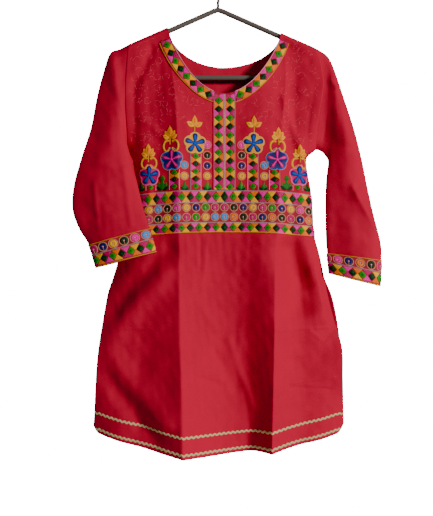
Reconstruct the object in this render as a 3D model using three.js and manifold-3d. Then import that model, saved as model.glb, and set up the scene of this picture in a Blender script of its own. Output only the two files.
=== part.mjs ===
// A red cotton kurti (short tunic) with embroidered borders, hung on a tubular hanger.
// Millimetres, +Z up, the front faces -Y and the viewer's left is -X. The origin is the inside top
// of the hanger's hook, where a rail holds it.

import * as THREE from 'three';
import Module from 'manifold-3d';

const wasm = await Module();
wasm.setup();

// Driving dimensions
const WALL = 1.2;               // cotton, with its turned edges
const SEAM_GAP = 0.3;           // between two pieces that are sewn together
const TRIM_LIFT = 0.3;          // between a panel and what is sewn on it
const TRIM_TOP = 1.5;           // height of a border above its panel
const CORD_TOP = 2.6;           // height of the corded ridge down the placket
const CORD_HALF_WIDTH = 2.2;
const BRAID_TOP = 1.4;

const APEX_Z = -59;             // where the two shoulder lines would meet
const SHOULDER_SLOPE = 0.44;
const SHOULDER_ROUND = 11;      // radius of the fold over the hanger's arm
const ARMPIT_Z = -348;
const SLIT_TOP_Z = -600;        // the side seams end here

const CENTRE_X = 12.3;          // the placket's centre line, as the kurti hangs
const NECK_L_X = -100.6;        // neck points, where the shoulder seams end
const NECK_R_X = 126;
const NECK_FRONT_Z = -240.3;
const NECK_FRONT_POWER = 1 / 1.2;
const NECK_BACK_DEPTH = 76;
const NECK_BACK_POWER = 0.6;

const BORDER_HALF_WIDTH = 130;  // outer edge of the neck border
const BORDER_TOP_Z = -133;
const BORDER_BOTTOM_Z = -262;
const PLACKET_HALF_WIDTH = 21.3;

const WAIST_Z = -514;
const WAIST_DROOP = 9;          // the waist seam hangs lower at the sides
const BELT_HEIGHT = 82;
const HALF_BODY = 190;

const HEM_Z = -945;
const HEM_RISE = 37;            // from the middle of the hem to its corners
const HEM_HALF_WIDTH = 250;
const HEM_POWER = 1.7;
const HEM_CORNER = { from: 235, width: 15, lift: 14 };
const BRAID = { lower: 8.5, upper: 40, ribbon: 5, wave: 2, halfPitch: 5.2 };

const TUBE_RADIUS = 5;
const HOOK_WIRE = 3;
const HOOK_INNER = 16;
const ARM_DROP = 8;             // from the shoulder line down to the arm's axis
const BAR_Z = -204;
const CORNER = { x: 167.8, radius: 30.2 };

const RED = new THREE.MeshStandardMaterial({ color: 0xb8182c, roughness: 0.85, metalness: 0 });
const BORDER = new THREE.MeshStandardMaterial({ color: 0xc07a2a, roughness: 0.7, metalness: 0 });
const BRAID_FINISH = new THREE.MeshStandardMaterial({ color: 0xc3b491, roughness: 0.8, metalness: 0 });
const PLASTIC = new THREE.MeshStandardMaterial({ color: 0x5f554e, roughness: 0.5, metalness: 0 });

// Lines that run down the front. Columns: height z, place x, depth in front of the side seams.
// A sharp line is a pressed crease or an edge, and a soft one a trough.
const FRONT_LINES = [
  { name: 'sideL', sharp: true, rows: [
    [-137, -178, 11], [-181, -181.6, 13], [-222, -183.7, 16], [-262, -183.5, 17], [-311, -181, 14],
    [-335, -180.5, 8], [-348, -180, 0], [-364, -172, 0], [-384, -169, 0], [-428, -170, 0],
    [-478, -176, 0], [-518, -184, 0], [-560, -197, 0], [-600, -209, 0], [-638, -220, 6],
    [-708, -230, 22], [-756, -236, 28], [-816, -242, 18], [-878, -246.6, 7], [-908, -250, 5]] },
  { name: 'troughL', sharp: false, rows: [
    [-120, -139, 11], [-172, -134, 14], [-254, -136, 22], [-353, -133, 26], [-431, -129, 26],
    [-519, -133, 30], [-626, -144, 34], [-723, -152, 36], [-840, -163, 36], [-927, -171, 36]] },
  { name: 'ridgeL', sharp: true, rows: [
    [-103, -100.6, 11], [-142, -99, 14], [-195, -90.3, 24], [-257, -82.6, 36], [-317, -79.3, 42],
    [-375, -77.3, 44], [-433, -76.3, 44], [-520, -76, 46], [-568, -75, 50], [-719, -72, 66],
    [-830, -68.6, 78], [-943, -66, 88]] },
  { name: 'valley', sharp: false, rows: [
    [-240, 12.3, 24], [-352, 13, 26], [-431, 13.4, 30], [-515, 13.5, 34], [-607, 21.4, 32],
    [-724, 35, 30], [-842, 51, 28], [-938, 58.7, 26]] },
  { name: 'ridgeR', sharp: true, rows: [
    [-115, 126, 11], [-142, 131, 14], [-206, 134, 26], [-257, 130, 36], [-307, 126, 40],
    [-375, 122.6, 42], [-433, 119, 42], [-520, 113.7, 44], [-606, 109, 50], [-721, 107, 56],
    [-834, 104.4, 62], [-933, 102, 66]] },
  { name: 'troughR', sharp: false, rows: [
    [-130, 160, 11], [-172, 160, 14], [-254, 157, 24], [-353, 158, 28], [-431, 156, 28],
    [-519, 160, 30], [-626, 166, 30], [-724, 170, 30], [-841, 176, 30], [-919, 180, 30]] },
  { name: 'sideR', sharp: true, rows: [
    [-142, 190, 11], [-171, 202.3, 13], [-213, 209, 16], [-242, 207, 17], [-276, 201, 17],
    [-315, 195.7, 13], [-335, 195.5, 8], [-348, 195, 0], [-364, 178, 0], [-398, 180, 0],
    [-430, 186, 0], [-518, 193, 0], [-557, 203, 0], [-600, 212, 0], [-642, 220, 6],
    [-692, 231, 16], [-740, 243, 27], [-798, 244, 30], [-850, 248, 15], [-898, 251, 6]] },
];

// The same for the back, with depths behind the side seams.
const BACK_LINES = [
  { name: 'sideL', sharp: true, rows: [
    [-137, -178, 11], [-181, -181.6, 13], [-222, -183.7, 16], [-262, -183.5, 17], [-311, -181, 14],
    [-335, -180.5, 8], [-348, -180, 0], [-364, -172, 0], [-384, -169, 0], [-428, -170, 0],
    [-478, -176, 0], [-518, -184, 0], [-560, -197, 0], [-600, -209, 0], [-638, -222, 3],
    [-708, -233, 8], [-756, -238, 9], [-816, -244, 8], [-878, -248, 6], [-908, -250, 5]] },
  { name: 'foldL', sharp: false, rows: [
    [-103, -100.6, 11], [-150, -98, 15], [-257, -90, 24], [-375, -86, 29], [-515, -84, 31],
    [-626, -88, 34], [-760, -94, 40], [-940, -98, 46]] },
  { name: 'centre', sharp: false, rows: [
    [-179, 12.3, 17], [-300, 12.3, 20], [-431, 12, 21], [-515, 10, 22], [-724, 4, 24], [-940, 0, 24]] },
  { name: 'foldR', sharp: false, rows: [
    [-115, 126, 11], [-150, 124, 15], [-257, 118, 24], [-375, 112, 28], [-515, 106, 32],
    [-626, 104, 36], [-760, 102, 38], [-940, 104, 40]] },
  { name: 'sideR', sharp: true, rows: [
    [-142, 190, 11], [-171, 202.3, 13], [-213, 209, 16], [-242, 207, 17], [-276, 201, 17],
    [-315, 195.7, 13], [-335, 195.5, 8], [-348, 195, 0], [-364, 178, 0], [-398, 180, 0],
    [-430, 186, 0], [-518, 193, 0], [-557, 203, 0], [-600, 212, 0], [-642, 229, 3],
    [-692, 240, 6], [-740, 246, 8], [-798, 247, 8], [-850, 249, 7], [-898, 251, 6]] },
];

// Slanting folds. Columns: from x and z, to x and z, half width, height towards the viewer.
const FRONT_FOLDS = [
  [-112, -596, -216, -712, 24, 9],
  [-96, -548, -206, -664, 20, -8],
  [-226, -752, -104, -870, 24, 8],
  [-214, -800, -124, -910, 22, -9],
  [128, -556, 206, -640, 26, -8],
  [140, -700, 224, -668, 24, 7],
  [-131, -150, -172, -240, 10, -4],
  [150, -770, 226, -752, 14, -4],
];
const BACK_FOLDS = [
  [-180, -560, -60, -700, 24, 7],
  [170, -580, 60, -740, 24, 7],
  [-150, -230, -60, -330, 20, 5],
  [160, -220, 70, -320, 20, 5],
];

// Sleeves from the armhole down to the cuff's lower edge. Columns: the outer fold's x, z and y,
// the inner fold's x, z and y, how far the front and the back stand off, and the seam's bow.
const SLEEVE_L = [
  [-178, -137, 0, -180, -348, 0, 17, 17, -5],
  [-196, -146, 0, -181.6, -360.5, -3, 17, 17, -4],
  [-216, -155, 0, -177.2, -368.9, -6, 17, 17, -3],
  [-229.8, -194.3, -1, -170.4, -379.8, -12, 17, 16, 0],
  [-242.2, -245, -4, -164.1, -395, -22, 16, 16, 0],
  [-252.6, -306.1, -10, -157.9, -415.9, -32, 15, 15, 0],
  [-268.1, -361, -18, -151.1, -442, -40, 14, 15, 0],
  [-283.1, -423, -26, -144.6, -465.8, -47, 14, 14, 0],
  [-283.8, -470.5, -32, -138.4, -485.3, -51, 14, 13, 0],
  [-269.6, -507.8, -38, -134.3, -498.8, -54, 14, 12, 0],
  [-250.2, -538.5, -44, -131.2, -507.5, -56, 14, 12, 0],
  [-234.4, -583.2, -50, -118.4, -553.5, -62, 14, 12, 0],
];
const SLEEVE_R = [
  [190, -142, 0, 195, -348, 0, 17, 17, 17],
  [205, -150.4, 0, 202, -349, -1, 17, 17, 15],
  [219, -162, 0, 209, -354, -2, 17, 17, 10],
  [232, -190, -2, 216, -363, -4, 17, 17, 5],
  [250, -242, -4, 219, -370, -6, 17, 17, 0],
  [271, -308, -6, 218.6, -380, -8, 17, 17, 0],
  [286, -368, -8, 216, -398, -9, 17, 17, 0],
  [297, -424, -10, 213.6, -428, -10, 17, 16, 0],
  [309, -480, -12, 213, -480, -11, 17, 15, 0],
  [322, -534, -14, 214, -528, -12, 17, 15, 0],
  [323, -568, -15, 216, -554, -13, 17, 15, 0],
  [320, -620, -17, 220, -595, -14, 17, 15, 0],
];
const CUFF_STATION = 10;        // the cuff covers the sleeve from this row on

// How many strips a panel has between neighbouring lines, and down its length
const FRONT_STRIPS = [4, 4, 9, 9, 4, 4];
const BACK_STRIPS = [5, 6, 6, 5];
const ARMHOLE_STEPS = [0, 0.016, 0.05, 0.12, 0.23, 0.36, 0.5, 0.66, 0.83, 1];
const BODICE_LOWER_ROWS = 4;
const SKIRT_ROWS = 14;
const BACK_LOWER_ROWS = 13;
const SLEEVE_RINGS = 17;
const CUFF_RINGS = 3;

const lerp = (a, b, t) => a + (b - a) * t;
const clamp01 = (t) => Math.min(1, Math.max(0, t));

// A column of a table at a height or station, on a smooth curve through its rows.
function smoothAt(rows, column, key, keyColumn = 0) {
  const down = rows[0][keyColumn] > rows[rows.length - 1][keyColumn] ? -1 : 1;
  let i = 0;
  while (i < rows.length - 2 && down * (key - rows[i + 1][keyColumn]) > 0) i++;
  const [before, a, b, after] = [rows[i - 1] ?? rows[i], rows[i], rows[i + 1], rows[i + 2] ?? rows[i + 1]];
  const span = b[keyColumn] - a[keyColumn];
  const t = clamp01((key - a[keyColumn]) / span);
  const slope = (p, q) => (p === q ? 0 : (q[column] - p[column]) / (q[keyColumn] - p[keyColumn]));
  const inSlope = slope(before, b) * span;
  const outSlope = slope(a, after) * span;
  const t2 = t * t;
  const t3 = t2 * t;
  return (2 * t3 - 3 * t2 + 1) * a[column] + (t3 - 2 * t2 + t) * inSlope
    + (3 * t2 - 2 * t3) * b[column] + (t3 - t2) * outSlope;
}

const shoulderZ = (x) => APEX_Z - SHOULDER_SLOPE * Math.abs(x);
const waistZ = (x) => WAIST_Z - WAIST_DROOP * ((x - CENTRE_X) / HALF_BODY) ** 2;
const beltTopZ = (x) => waistZ(x) + BELT_HEIGHT;

function hemZ(x) {
  const corner = Math.max(0, (Math.abs(x) - HEM_CORNER.from) / HEM_CORNER.width);
  return HEM_Z + HEM_RISE * (Math.abs(x) / HEM_HALF_WIDTH) ** HEM_POWER + HEM_CORNER.lift * corner ** 2;
}

// The neck's edge at x: an oval scoop between the two neck points.
function neckZ(x, bottomZ, power) {
  const pointX = x < CENTRE_X ? NECK_L_X : NECK_R_X;
  const reach = clamp01(Math.abs((x - CENTRE_X) / (pointX - CENTRE_X)));
  return lerp(shoulderZ(pointX), bottomZ, (1 - reach ** 2) ** power);
}
const neckFrontZ = (x) => neckZ(x, NECK_FRONT_Z, NECK_FRONT_POWER);
const neckBackZ = (x) => neckZ(x, shoulderZ(CENTRE_X) - 38 - NECK_BACK_DEPTH, NECK_BACK_POWER);

// A soft slanting fold: highest along its line, gone at its width and past its ends.
function foldHeight(folds, x, z) {
  let height = 0;
  for (const [x1, z1, x2, z2, width, rise] of folds) {
    const [dx, dz] = [x2 - x1, z2 - z1];
    const length2 = dx * dx + dz * dz;
    const along = ((x - x1) * dx + (z - z1) * dz) / length2;
    const t = clamp01(along);
    const across = Math.hypot(x - x1 - t * dx, z - z1 - t * dz) / width;
    height += rise * Math.exp(-across * across);
  }
  return height;
}

// Depth of a panel at x and z: from line to line, straight out of a sharp one and level at a soft one.
function sectionDepth(lines, x, z) {
  const places = lines.map((line) => smoothAt(line.rows, 1, z));
  let i = 0;
  while (i < lines.length - 2 && x > places[i + 1]) i++;
  const t = clamp01((x - places[i]) / (places[i + 1] - places[i]));
  const [a, b] = [smoothAt(lines[i].rows, 2, z), smoothAt(lines[i + 1].rows, 2, z)];
  if (lines[i].sharp) return lerp(a, b, Math.sin(t * Math.PI / 2));
  if (lines[i + 1].sharp) return lerp(b, a, Math.sin((1 - t) * Math.PI / 2));
  return lerp(a, b, (1 - Math.cos(t * Math.PI)) / 2);
}

// A panel: its lines, folds and side of the garment (-1 front, +1 back).
const FRONT = {
  lines: FRONT_LINES, folds: FRONT_FOLDS, side: -1, neckZ: neckFrontZ,
  strips: FRONT_STRIPS, neckStrips: [2, 3], neckPower: 2.4,
};
const BACK = {
  lines: BACK_LINES, folds: BACK_FOLDS, side: 1, neckZ: neckBackZ,
  strips: BACK_STRIPS, neckStrips: [1, 2], neckPower: 3,
};

function panelY(panel, x, z) {
  const drop = clamp01((shoulderZ(x) - z) / SHOULDER_ROUND);
  const overArm = Math.sqrt(1 - (1 - drop) ** 2);
  const edges = [panel.lines[0], panel.lines[panel.lines.length - 1]].map((line) => smoothAt(line.rows, 1, z));
  const fromEdge = Math.min(Math.abs(x - edges[0]), Math.abs(x - edges[1]));
  const folds = foldHeight(panel.folds, x, z) * clamp01(fromEdge / 40);
  const depth = (sectionDepth(panel.lines, x, z) + folds) * overArm;
  return panel.side * (SEAM_GAP / 2 + Math.max(0, depth));
}

const SLOPE_STEP = 2;
function panelNormal(panel, x, z) {
  const y = (px, pz) => panelY(panel, px, pz);
  const dx = (y(x + SLOPE_STEP, z) - y(x - SLOPE_STEP, z)) / (2 * SLOPE_STEP);
  const dz = (y(x, z + SLOPE_STEP) - y(x, z - SLOPE_STEP)) / (2 * SLOPE_STEP);
  return new THREE.Vector3(dx, -1, dz).multiplyScalar(-panel.side).normalize();
}

// The place of a column at height z: column 0 is the left side, the last one the right side. The
// columns under the neck crowd towards the neck points at the top, where its edge is steep.
const FAN = { top: -150, bottom: -340 };
function columnX(panel, column, z) {
  let i = 0;
  while (i < panel.strips.length - 1 && column > panel.strips[i]) column -= panel.strips[i++];
  const t = column / panel.strips[i];
  const crowding = (1 + Math.cos(Math.PI * clamp01((z - FAN.top) / (FAN.bottom - FAN.top)))) / 2;
  const crowded = (s) => lerp(s, s ** panel.neckPower, crowding);
  const [leftNeck, rightNeck] = panel.neckStrips;
  const fraction = i === leftNeck ? crowded(t) : i === rightNeck ? 1 - crowded(1 - t) : t;
  const [left, right] = [panel.lines[i], panel.lines[i + 1]];
  return lerp(smoothAt(left.rows, 1, z), smoothAt(right.rows, 1, z), fraction);
}

const columnCount = (panel) => panel.strips.reduce((sum, n) => sum + n, 0);

// Where a column ends at the top: on the neck's edge or on the shoulder seam.
function columnTopZ(panel, column) {
  let [low, high] = [NECK_FRONT_Z - 10, APEX_Z];
  for (let step = 0; step < 30; step++) {
    const middle = (low + high) / 2;
    const x = columnX(panel, column, middle);
    const inNeck = x > NECK_L_X && x < NECK_R_X;
    const edge = inNeck ? Math.min(panel.neckZ(x), shoulderZ(x)) : shoulderZ(x);
    if (middle > edge) high = middle;
    else low = middle;
  }
  return low;
}

// A grid of points and normals over a panel. heightOf(column, row) gives each point's height.
function panelGrid(panel, rowCount, heightOf) {
  const grid = [];
  for (let column = 0; column <= columnCount(panel); column++) {
    const points = [];
    for (let row = 0; row <= rowCount; row++) {
      const z = heightOf(column, row);
      const x = columnX(panel, column, z);
      points.push({ position: new THREE.Vector3(x, panelY(panel, x, z), z), normal: panelNormal(panel, x, z) });
    }
    grid.push(points);
  }
  return grid;
}

// At a seam both walls keep to one plane, so that a slanting wall still meets its neighbour squarely.
const MOST_SLANT = 0.5;
function keepToPlane(vertex, axis) {
  const length = vertex.normal.length();
  const flat = vertex.normal.clone().setComponent(axis, 0);
  const slant = Math.max(MOST_SLANT, flat.length() / length);
  vertex.normal.copy(flat.normalize().multiplyScalar(length / slant));
}

function squareSeams(grid, { sideRows = [], shoulderColumns = [], shoulderRow, levelRow }) {
  const sides = [grid[0], grid[grid.length - 1]];
  for (const side of sides) for (const row of sideRows) keepToPlane(side[row], 1);
  for (const column of shoulderColumns) keepToPlane(grid[column][shoulderRow], 1);
  if (levelRow !== undefined) for (const points of grid) keepToPlane(points[levelRow], 2);
}

// One closed mesh between two offsets of a grid. A wrapped grid is a tube.
function shell(grid, from, to, wrapped = false) {
  const [columns, rows] = [grid.length, grid[0].length];
  const vertices = [];
  for (const offset of [from, to]) {
    for (const points of grid) {
      for (const { position, normal } of points) vertices.push(position.clone().addScaledVector(normal, offset));
    }
  }
  const at = (layer, column, row) => layer * columns * rows + (column % columns) * rows + row;
  const triangles = [];
  const quad = (a, b, c, d) => triangles.push([a, b, c], [a, c, d]);
  const lastColumn = wrapped ? columns : columns - 1;
  for (let i = 0; i < lastColumn; i++) {
    for (let j = 0; j < rows - 1; j++) {
      quad(at(0, i, j), at(0, i + 1, j), at(0, i + 1, j + 1), at(0, i, j + 1));
      quad(at(1, i, j), at(1, i, j + 1), at(1, i + 1, j + 1), at(1, i + 1, j));
    }
    quad(at(0, i + 1, 0), at(0, i, 0), at(1, i, 0), at(1, i + 1, 0));
    quad(at(0, i, rows - 1), at(0, i + 1, rows - 1), at(1, i + 1, rows - 1), at(1, i, rows - 1));
  }
  if (!wrapped) {
    for (let j = 0; j < rows - 1; j++) {
      quad(at(0, 0, j), at(0, 0, j + 1), at(1, 0, j + 1), at(1, 0, j));
      quad(at(0, columns - 1, j + 1), at(0, columns - 1, j), at(1, columns - 1, j), at(1, columns - 1, j + 1));
    }
  }
  return outward({ vertices, triangles });
}

// Turns a mesh's faces outwards, if its volume comes out negative.
function outward(mesh) {
  let volume = 0;
  for (const [a, b, c] of mesh.triangles) {
    volume += mesh.vertices[a].dot(mesh.vertices[b].clone().cross(mesh.vertices[c]));
  }
  if (volume < 0) mesh.triangles.forEach((triangle) => triangle.reverse());
  return mesh;
}

function toGeometry(mesh) {
  const geometry = new THREE.BufferGeometry();
  const positions = mesh.vertices.flatMap((v) => [v.x, v.y, v.z]);
  geometry.setAttribute('position', new THREE.Float32BufferAttribute(positions, 3));
  geometry.setIndex(mesh.triangles.flat());
  geometry.computeVertexNormals();
  return geometry;
}

function toSolid(mesh) {
  const vertProperties = new Float32Array(mesh.vertices.flatMap((v) => [v.x, v.y, v.z]));
  const triVerts = new Uint32Array(mesh.triangles.flat());
  return new wasm.Manifold(new wasm.Mesh({ numProp: 3, vertProperties, triVerts }));
}

// The cut pieces, without the crumbs that a grazing cut leaves and without needless small facets.
const CUT_TOLERANCE = 0.06;
const CRUMB = 5;
function fromSolid(solid) {
  const pieces = solid.decompose().filter((piece) => piece.volume() > CRUMB);
  const whole = pieces.reduce((sum, piece) => sum.add(piece)).simplify(CUT_TOLERANCE);
  const { vertProperties, triVerts, numProp } = whole.getMesh();
  const positions = [];
  for (let i = 0; i < vertProperties.length; i += numProp) positions.push(...vertProperties.slice(i, i + 3));
  const geometry = new THREE.BufferGeometry();
  geometry.setAttribute('position', new THREE.Float32BufferAttribute(positions, 3));
  geometry.setIndex([...triVerts]);
  geometry.computeVertexNormals();
  return geometry;
}

// A cutter: an outline in X and Z, as deep in Y as the garment, on its front or back side.
const CUTTER_DEPTH = 160;
function cutter(outline, side) {
  const [near, far] = [0, side * CUTTER_DEPTH];
  const vertices = [near, far].flatMap((y) => outline.map(([x, z]) => new THREE.Vector3(x, y, z)));
  const n = outline.length;
  const caps = THREE.ShapeUtils.triangulateShape(outline.map(([x, z]) => new THREE.Vector2(x, z)), []);
  const triangles = caps.flatMap(([a, b, c]) => [[a, b, c], [n + c, n + b, n + a]]);
  const clockwise = THREE.ShapeUtils.isClockWise(outline.map(([x, z]) => new THREE.Vector2(x, z)));
  for (let i = 0; i < n; i++) {
    const k = (i + 1) % n;
    const wall = clockwise ? [[i, k, n + k], [i, n + k, n + i]] : [[k, i, n + k], [i, n + i, n + k]];
    triangles.push(...wall);
  }
  return toSolid(outward({ vertices, triangles }));
}

const group = new THREE.Group();
function add(name, geometry, material) {
  const mesh = new THREE.Mesh(geometry, material);
  mesh.name = name;
  group.add(mesh);
}

const range = (from, to) => Array.from({ length: to - from + 1 }, (_, i) => from + i);

// Front bodice: from the waist seam to the armpit, and on to the shoulder seam or the neck's edge
const bodiceRows = BODICE_LOWER_ROWS + ARMHOLE_STEPS.length - 1;
const frontTop = range(0, columnCount(FRONT)).map((column) => columnTopZ(FRONT, column));
const seamWaistZ = (x) => waistZ(x) + SEAM_GAP / 2;

function upperHeight(bottomZ, topZ, armpitShare, lowerRows, row) {
  const armpitZ = lerp(bottomZ, topZ, armpitShare);
  if (row <= lowerRows) return lerp(bottomZ, armpitZ, row / lowerRows);
  return lerp(topZ, armpitZ, ARMHOLE_STEPS[ARMHOLE_STEPS.length - 1 - (row - lowerRows)]);
}

function bodiceHeight(column, row) {
  const bottomZ = seamWaistZ(columnX(FRONT, column, WAIST_Z));
  const sideTop = column < columnCount(FRONT) / 2 ? frontTop[0] : frontTop[frontTop.length - 1];
  const armpitShare = (ARMPIT_Z - bottomZ) / (sideTop - bottomZ);
  return upperHeight(bottomZ, frontTop[column], armpitShare, BODICE_LOWER_ROWS, row);
}

const bodice = panelGrid(FRONT, bodiceRows, bodiceHeight);
const sideStrips = FRONT_STRIPS[0] + FRONT_STRIPS[1];
const frontShoulders = [...range(0, sideStrips), ...range(columnCount(FRONT) - sideStrips, columnCount(FRONT))];
squareSeams(bodice, {
  sideRows: range(0, BODICE_LOWER_ROWS), shoulderColumns: frontShoulders, shoulderRow: bodiceRows, levelRow: 0,
});
add('front_bodice', toGeometry(shell(bodice, -WALL, 0)), RED);

// Front skirt: from the waist seam to the hem
function skirtHeight(column, row) {
  let z = WAIST_Z;
  for (let step = 0; step < 6; step++) {
    const x = columnX(FRONT, column, z);
    z = lerp(waistZ(x) - SEAM_GAP / 2, hemZ(x), row / SKIRT_ROWS);
    if (row === 0) z = waistZ(columnX(FRONT, column, WAIST_Z)) - SEAM_GAP / 2;
  }
  return z;
}
const skirt = panelGrid(FRONT, SKIRT_ROWS, skirtHeight);
const seamedRows = (grid) => range(0, grid[0].length - 1).filter((row) => {
  const z = grid[0][row].position.z;
  return z > SLIT_TOP_Z - 5 && z < ARMPIT_Z + 1;
});
squareSeams(skirt, { sideRows: seamedRows(skirt), levelRow: 0 });
skirt.forEach((points, column) => points[0].normal.copy(bodice[column][0].normal));
add('front_skirt', toGeometry(shell(skirt, -WALL, 0)), RED);

// Back: one cut from the hem to the shoulder seams
const backTop = range(0, columnCount(BACK)).map((column) => columnTopZ(BACK, column));
const backRows = BACK_LOWER_ROWS + ARMHOLE_STEPS.length - 1;
function backHeight(column, row) {
  let z = HEM_Z;
  const sideTop = column < columnCount(BACK) / 2 ? backTop[0] : backTop[backTop.length - 1];
  for (let step = 0; step < 6; step++) {
    const bottomZ = hemZ(columnX(BACK, column, HEM_Z));
    const armpitShare = (ARMPIT_Z - bottomZ) / (sideTop - bottomZ);
    z = upperHeight(bottomZ, backTop[column], armpitShare, BACK_LOWER_ROWS, row);
  }
  return z;
}
const back = panelGrid(BACK, backRows, backHeight);
const backShoulders = [
  ...range(0, BACK_STRIPS[0]), ...range(columnCount(BACK) - BACK_STRIPS[0], columnCount(BACK)),
];
squareSeams(back, { sideRows: seamedRows(back), shoulderColumns: backShoulders, shoulderRow: backRows });
add('back', toGeometry(shell(back, -WALL, 0)), RED);

// Sleeves: rings from the armhole's own points to the cuff
const SLEEVE_COLUMNS = { outX: 1, outZ: 2, outY: 3, inX: 4, inZ: 5, inY: 6, front: 7, back: 8, bow: 9 };
const ARMHOLE_GAP = 0.5;
const EASE_STATIONS = 2;        // over which a sleeve leaves the armhole's line
const CUFF_STEPS = [0, 0.04, 0.12, 0.24, 0.38, 0.52, 0.66, 0.8, 0.93, 1];

function sleevePoint(rows, station, step, face) {
  const get = (name) => smoothAt(rows, SLEEVE_COLUMNS[name], station);
  const mix = clamp01(station / 3);
  const t = lerp(ARMHOLE_STEPS[step], CUFF_STEPS[step], mix);
  const bow = get('bow') * Math.sin(Math.PI * t ** 0.6);
  const x = lerp(get('outX'), get('inX'), t) + bow;
  const roomForWall = WALL * clamp01(station / EASE_STATIONS);
  const stand = (get(face < 0 ? 'front' : 'back') + roomForWall) * Math.sin(Math.PI * t) ** 0.6;
  const y = lerp(get('outY'), get('inY'), t) + face * stand;
  return new THREE.Vector3(x, y, lerp(get('outZ'), get('inZ'), t));
}

// The first ring follows the armhole of the two panels, and the next ones ease away from it.
function sleeveRing(rows, station, side) {
  const last = ARMHOLE_STEPS.length - 1;
  const armhole = (step, face) => {
    const grid = face < 0 ? bodice : back;
    const column = side < 0 ? grid[0] : grid[grid.length - 1];
    return column[column.length - 1 - step].position;
  };
  const weight = (1 - clamp01(station / EASE_STATIONS)) ** 2;
  const point = (step, face) => {
    const moved = armhole(step, face).clone().sub(sleevePoint(rows, 0, step, face));
    if (step === 0 || step === last) moved.y = 0;
    return sleevePoint(rows, station, step, face).addScaledVector(moved, weight)
      .add(new THREE.Vector3(side * ARMHOLE_GAP, 0, 0));
  };
  const front = range(0, last).map((step) => point(step, -1));
  const rear = range(1, last - 1).reverse().map((step) => point(step, 1));
  return [...front, ...rear];
}

function sleeveGrid(table, stations, side) {
  const rows = table.map((row, station) => [station, ...row]);
  const rings = stations.map((station) => sleeveRing(rows, station, side));
  const count = rings[0].length;
  return range(0, count - 1).map((i) => rings.map((ring, k) => {
    const around = ring[(i + 1) % count].clone().sub(ring[(i + count - 1) % count]);
    const along = rings[Math.min(k + 1, rings.length - 1)][i].clone().sub(rings[Math.max(k - 1, 0)][i]);
    const normal = around.cross(along).multiplyScalar(side).normalize();
    if (stations[k] === 0) normal.setX(0).normalize();
    return { position: ring[i], normal };
  }));
}

const LAST_STATION = SLEEVE_L.length - 1;
const sleeveStations = range(0, SLEEVE_RINGS).map((i) => LAST_STATION * (i / SLEEVE_RINGS));
const cuffStations = range(0, CUFF_RINGS).map((i) => lerp(CUFF_STATION, LAST_STATION, i / CUFF_RINGS));
const stations = [...sleeveStations.filter((s) => s < CUFF_STATION - 0.2), ...cuffStations];

for (const [suffix, table, side] of [['l', SLEEVE_L, -1], ['r', SLEEVE_R, 1]]) {
  const sleeve = sleeveGrid(table, stations, side);
  add(`sleeve_${suffix}`, toGeometry(shell(sleeve, -WALL, 0, true)), RED);
  const cuff = sleeve.map((points) => points.slice(-cuffStations.length));
  add(`cuff_${suffix}`, toGeometry(shell(cuff, TRIM_LIFT, TRIM_TOP, true)), BORDER);
}

// Borders: cut out of a layer that follows the bodice's own points
const borderLayer = toSolid(shell(bodice, TRIM_LIFT, TRIM_TOP));
const OUTLINE_STEPS = 28;

function borderOuterZ(x) {
  const reach = clamp01(Math.abs((x - CENTRE_X) / BORDER_HALF_WIDTH));
  return lerp(BORDER_TOP_Z, BORDER_BOTTOM_Z, (1 - reach ** 2) ** NECK_FRONT_POWER);
}
const outerEdge = range(0, OUTLINE_STEPS).map((i) => {
  const x = CENTRE_X - BORDER_HALF_WIDTH * Math.cos(Math.PI * i / OUTLINE_STEPS);
  return [x, borderOuterZ(x)];
});
add('neck_border', fromSolid(cutter(outerEdge, -1).intersect(borderLayer)), BORDER);

const band = (halfWidth, topZ, bottomZ) => [
  [CENTRE_X - halfWidth, bottomZ], [CENTRE_X + halfWidth, bottomZ],
  [CENTRE_X + halfWidth, topZ], [CENTRE_X - halfWidth, topZ],
];
const placketTop = BORDER_BOTTOM_Z - 2;
const placketBottom = beltTopZ(CENTRE_X) + SEAM_GAP;
const cordLayer = toSolid(shell(bodice, TRIM_LIFT, CORD_TOP));
const placketBand = cutter(band(PLACKET_HALF_WIDTH, placketTop, placketBottom), -1).intersect(borderLayer);
const placketCord = cutter(band(CORD_HALF_WIDTH, placketTop, placketBottom), -1).intersect(cordLayer);
add('placket', fromSolid(placketBand.add(placketCord)), BORDER);

const BELT_REACH = 240;
const beltTop = range(0, OUTLINE_STEPS).map((i) => {
  const x = lerp(BELT_REACH, -BELT_REACH, i / OUTLINE_STEPS);
  return [x, beltTopZ(x)];
});
const beltOutline = [[-BELT_REACH, WAIST_Z - 60], [BELT_REACH, WAIST_Z - 60], ...beltTop];
add('waist_border', fromSolid(cutter(beltOutline, -1).intersect(borderLayer)), BORDER);

// Zigzag braid: two rows on the front and the back, just above the hem
function braidOutline(rise, reach) {
  const count = Math.round(2 * reach / BRAID.halfPitch);
  const edge = (offset) => range(0, count).map((i) => {
    const x = lerp(-reach, reach, i / count);
    const turned = i % 2 === 0 ? BRAID.wave : -BRAID.wave;
    return [x, hemZ(Math.min(Math.abs(x), HEM_CORNER.from)) + rise + offset + turned];
  });
  return [...edge(-BRAID.ribbon / 2), ...edge(BRAID.ribbon / 2).reverse()];
}
const BRAID_REACH = { lower: 234, upper: 262 };
for (const [face, grid, side] of [['front', skirt, -1], ['back', back, 1]]) {
  const layer = toSolid(shell(grid, TRIM_LIFT, BRAID_TOP));
  for (const row of ['upper', 'lower']) {
    const outline = braidOutline(BRAID[row], BRAID_REACH[row]);
    add(`braid_${face}_${row}`, fromSolid(cutter(outline, side).intersect(layer)), BRAID_FINISH);
  }
}

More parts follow.
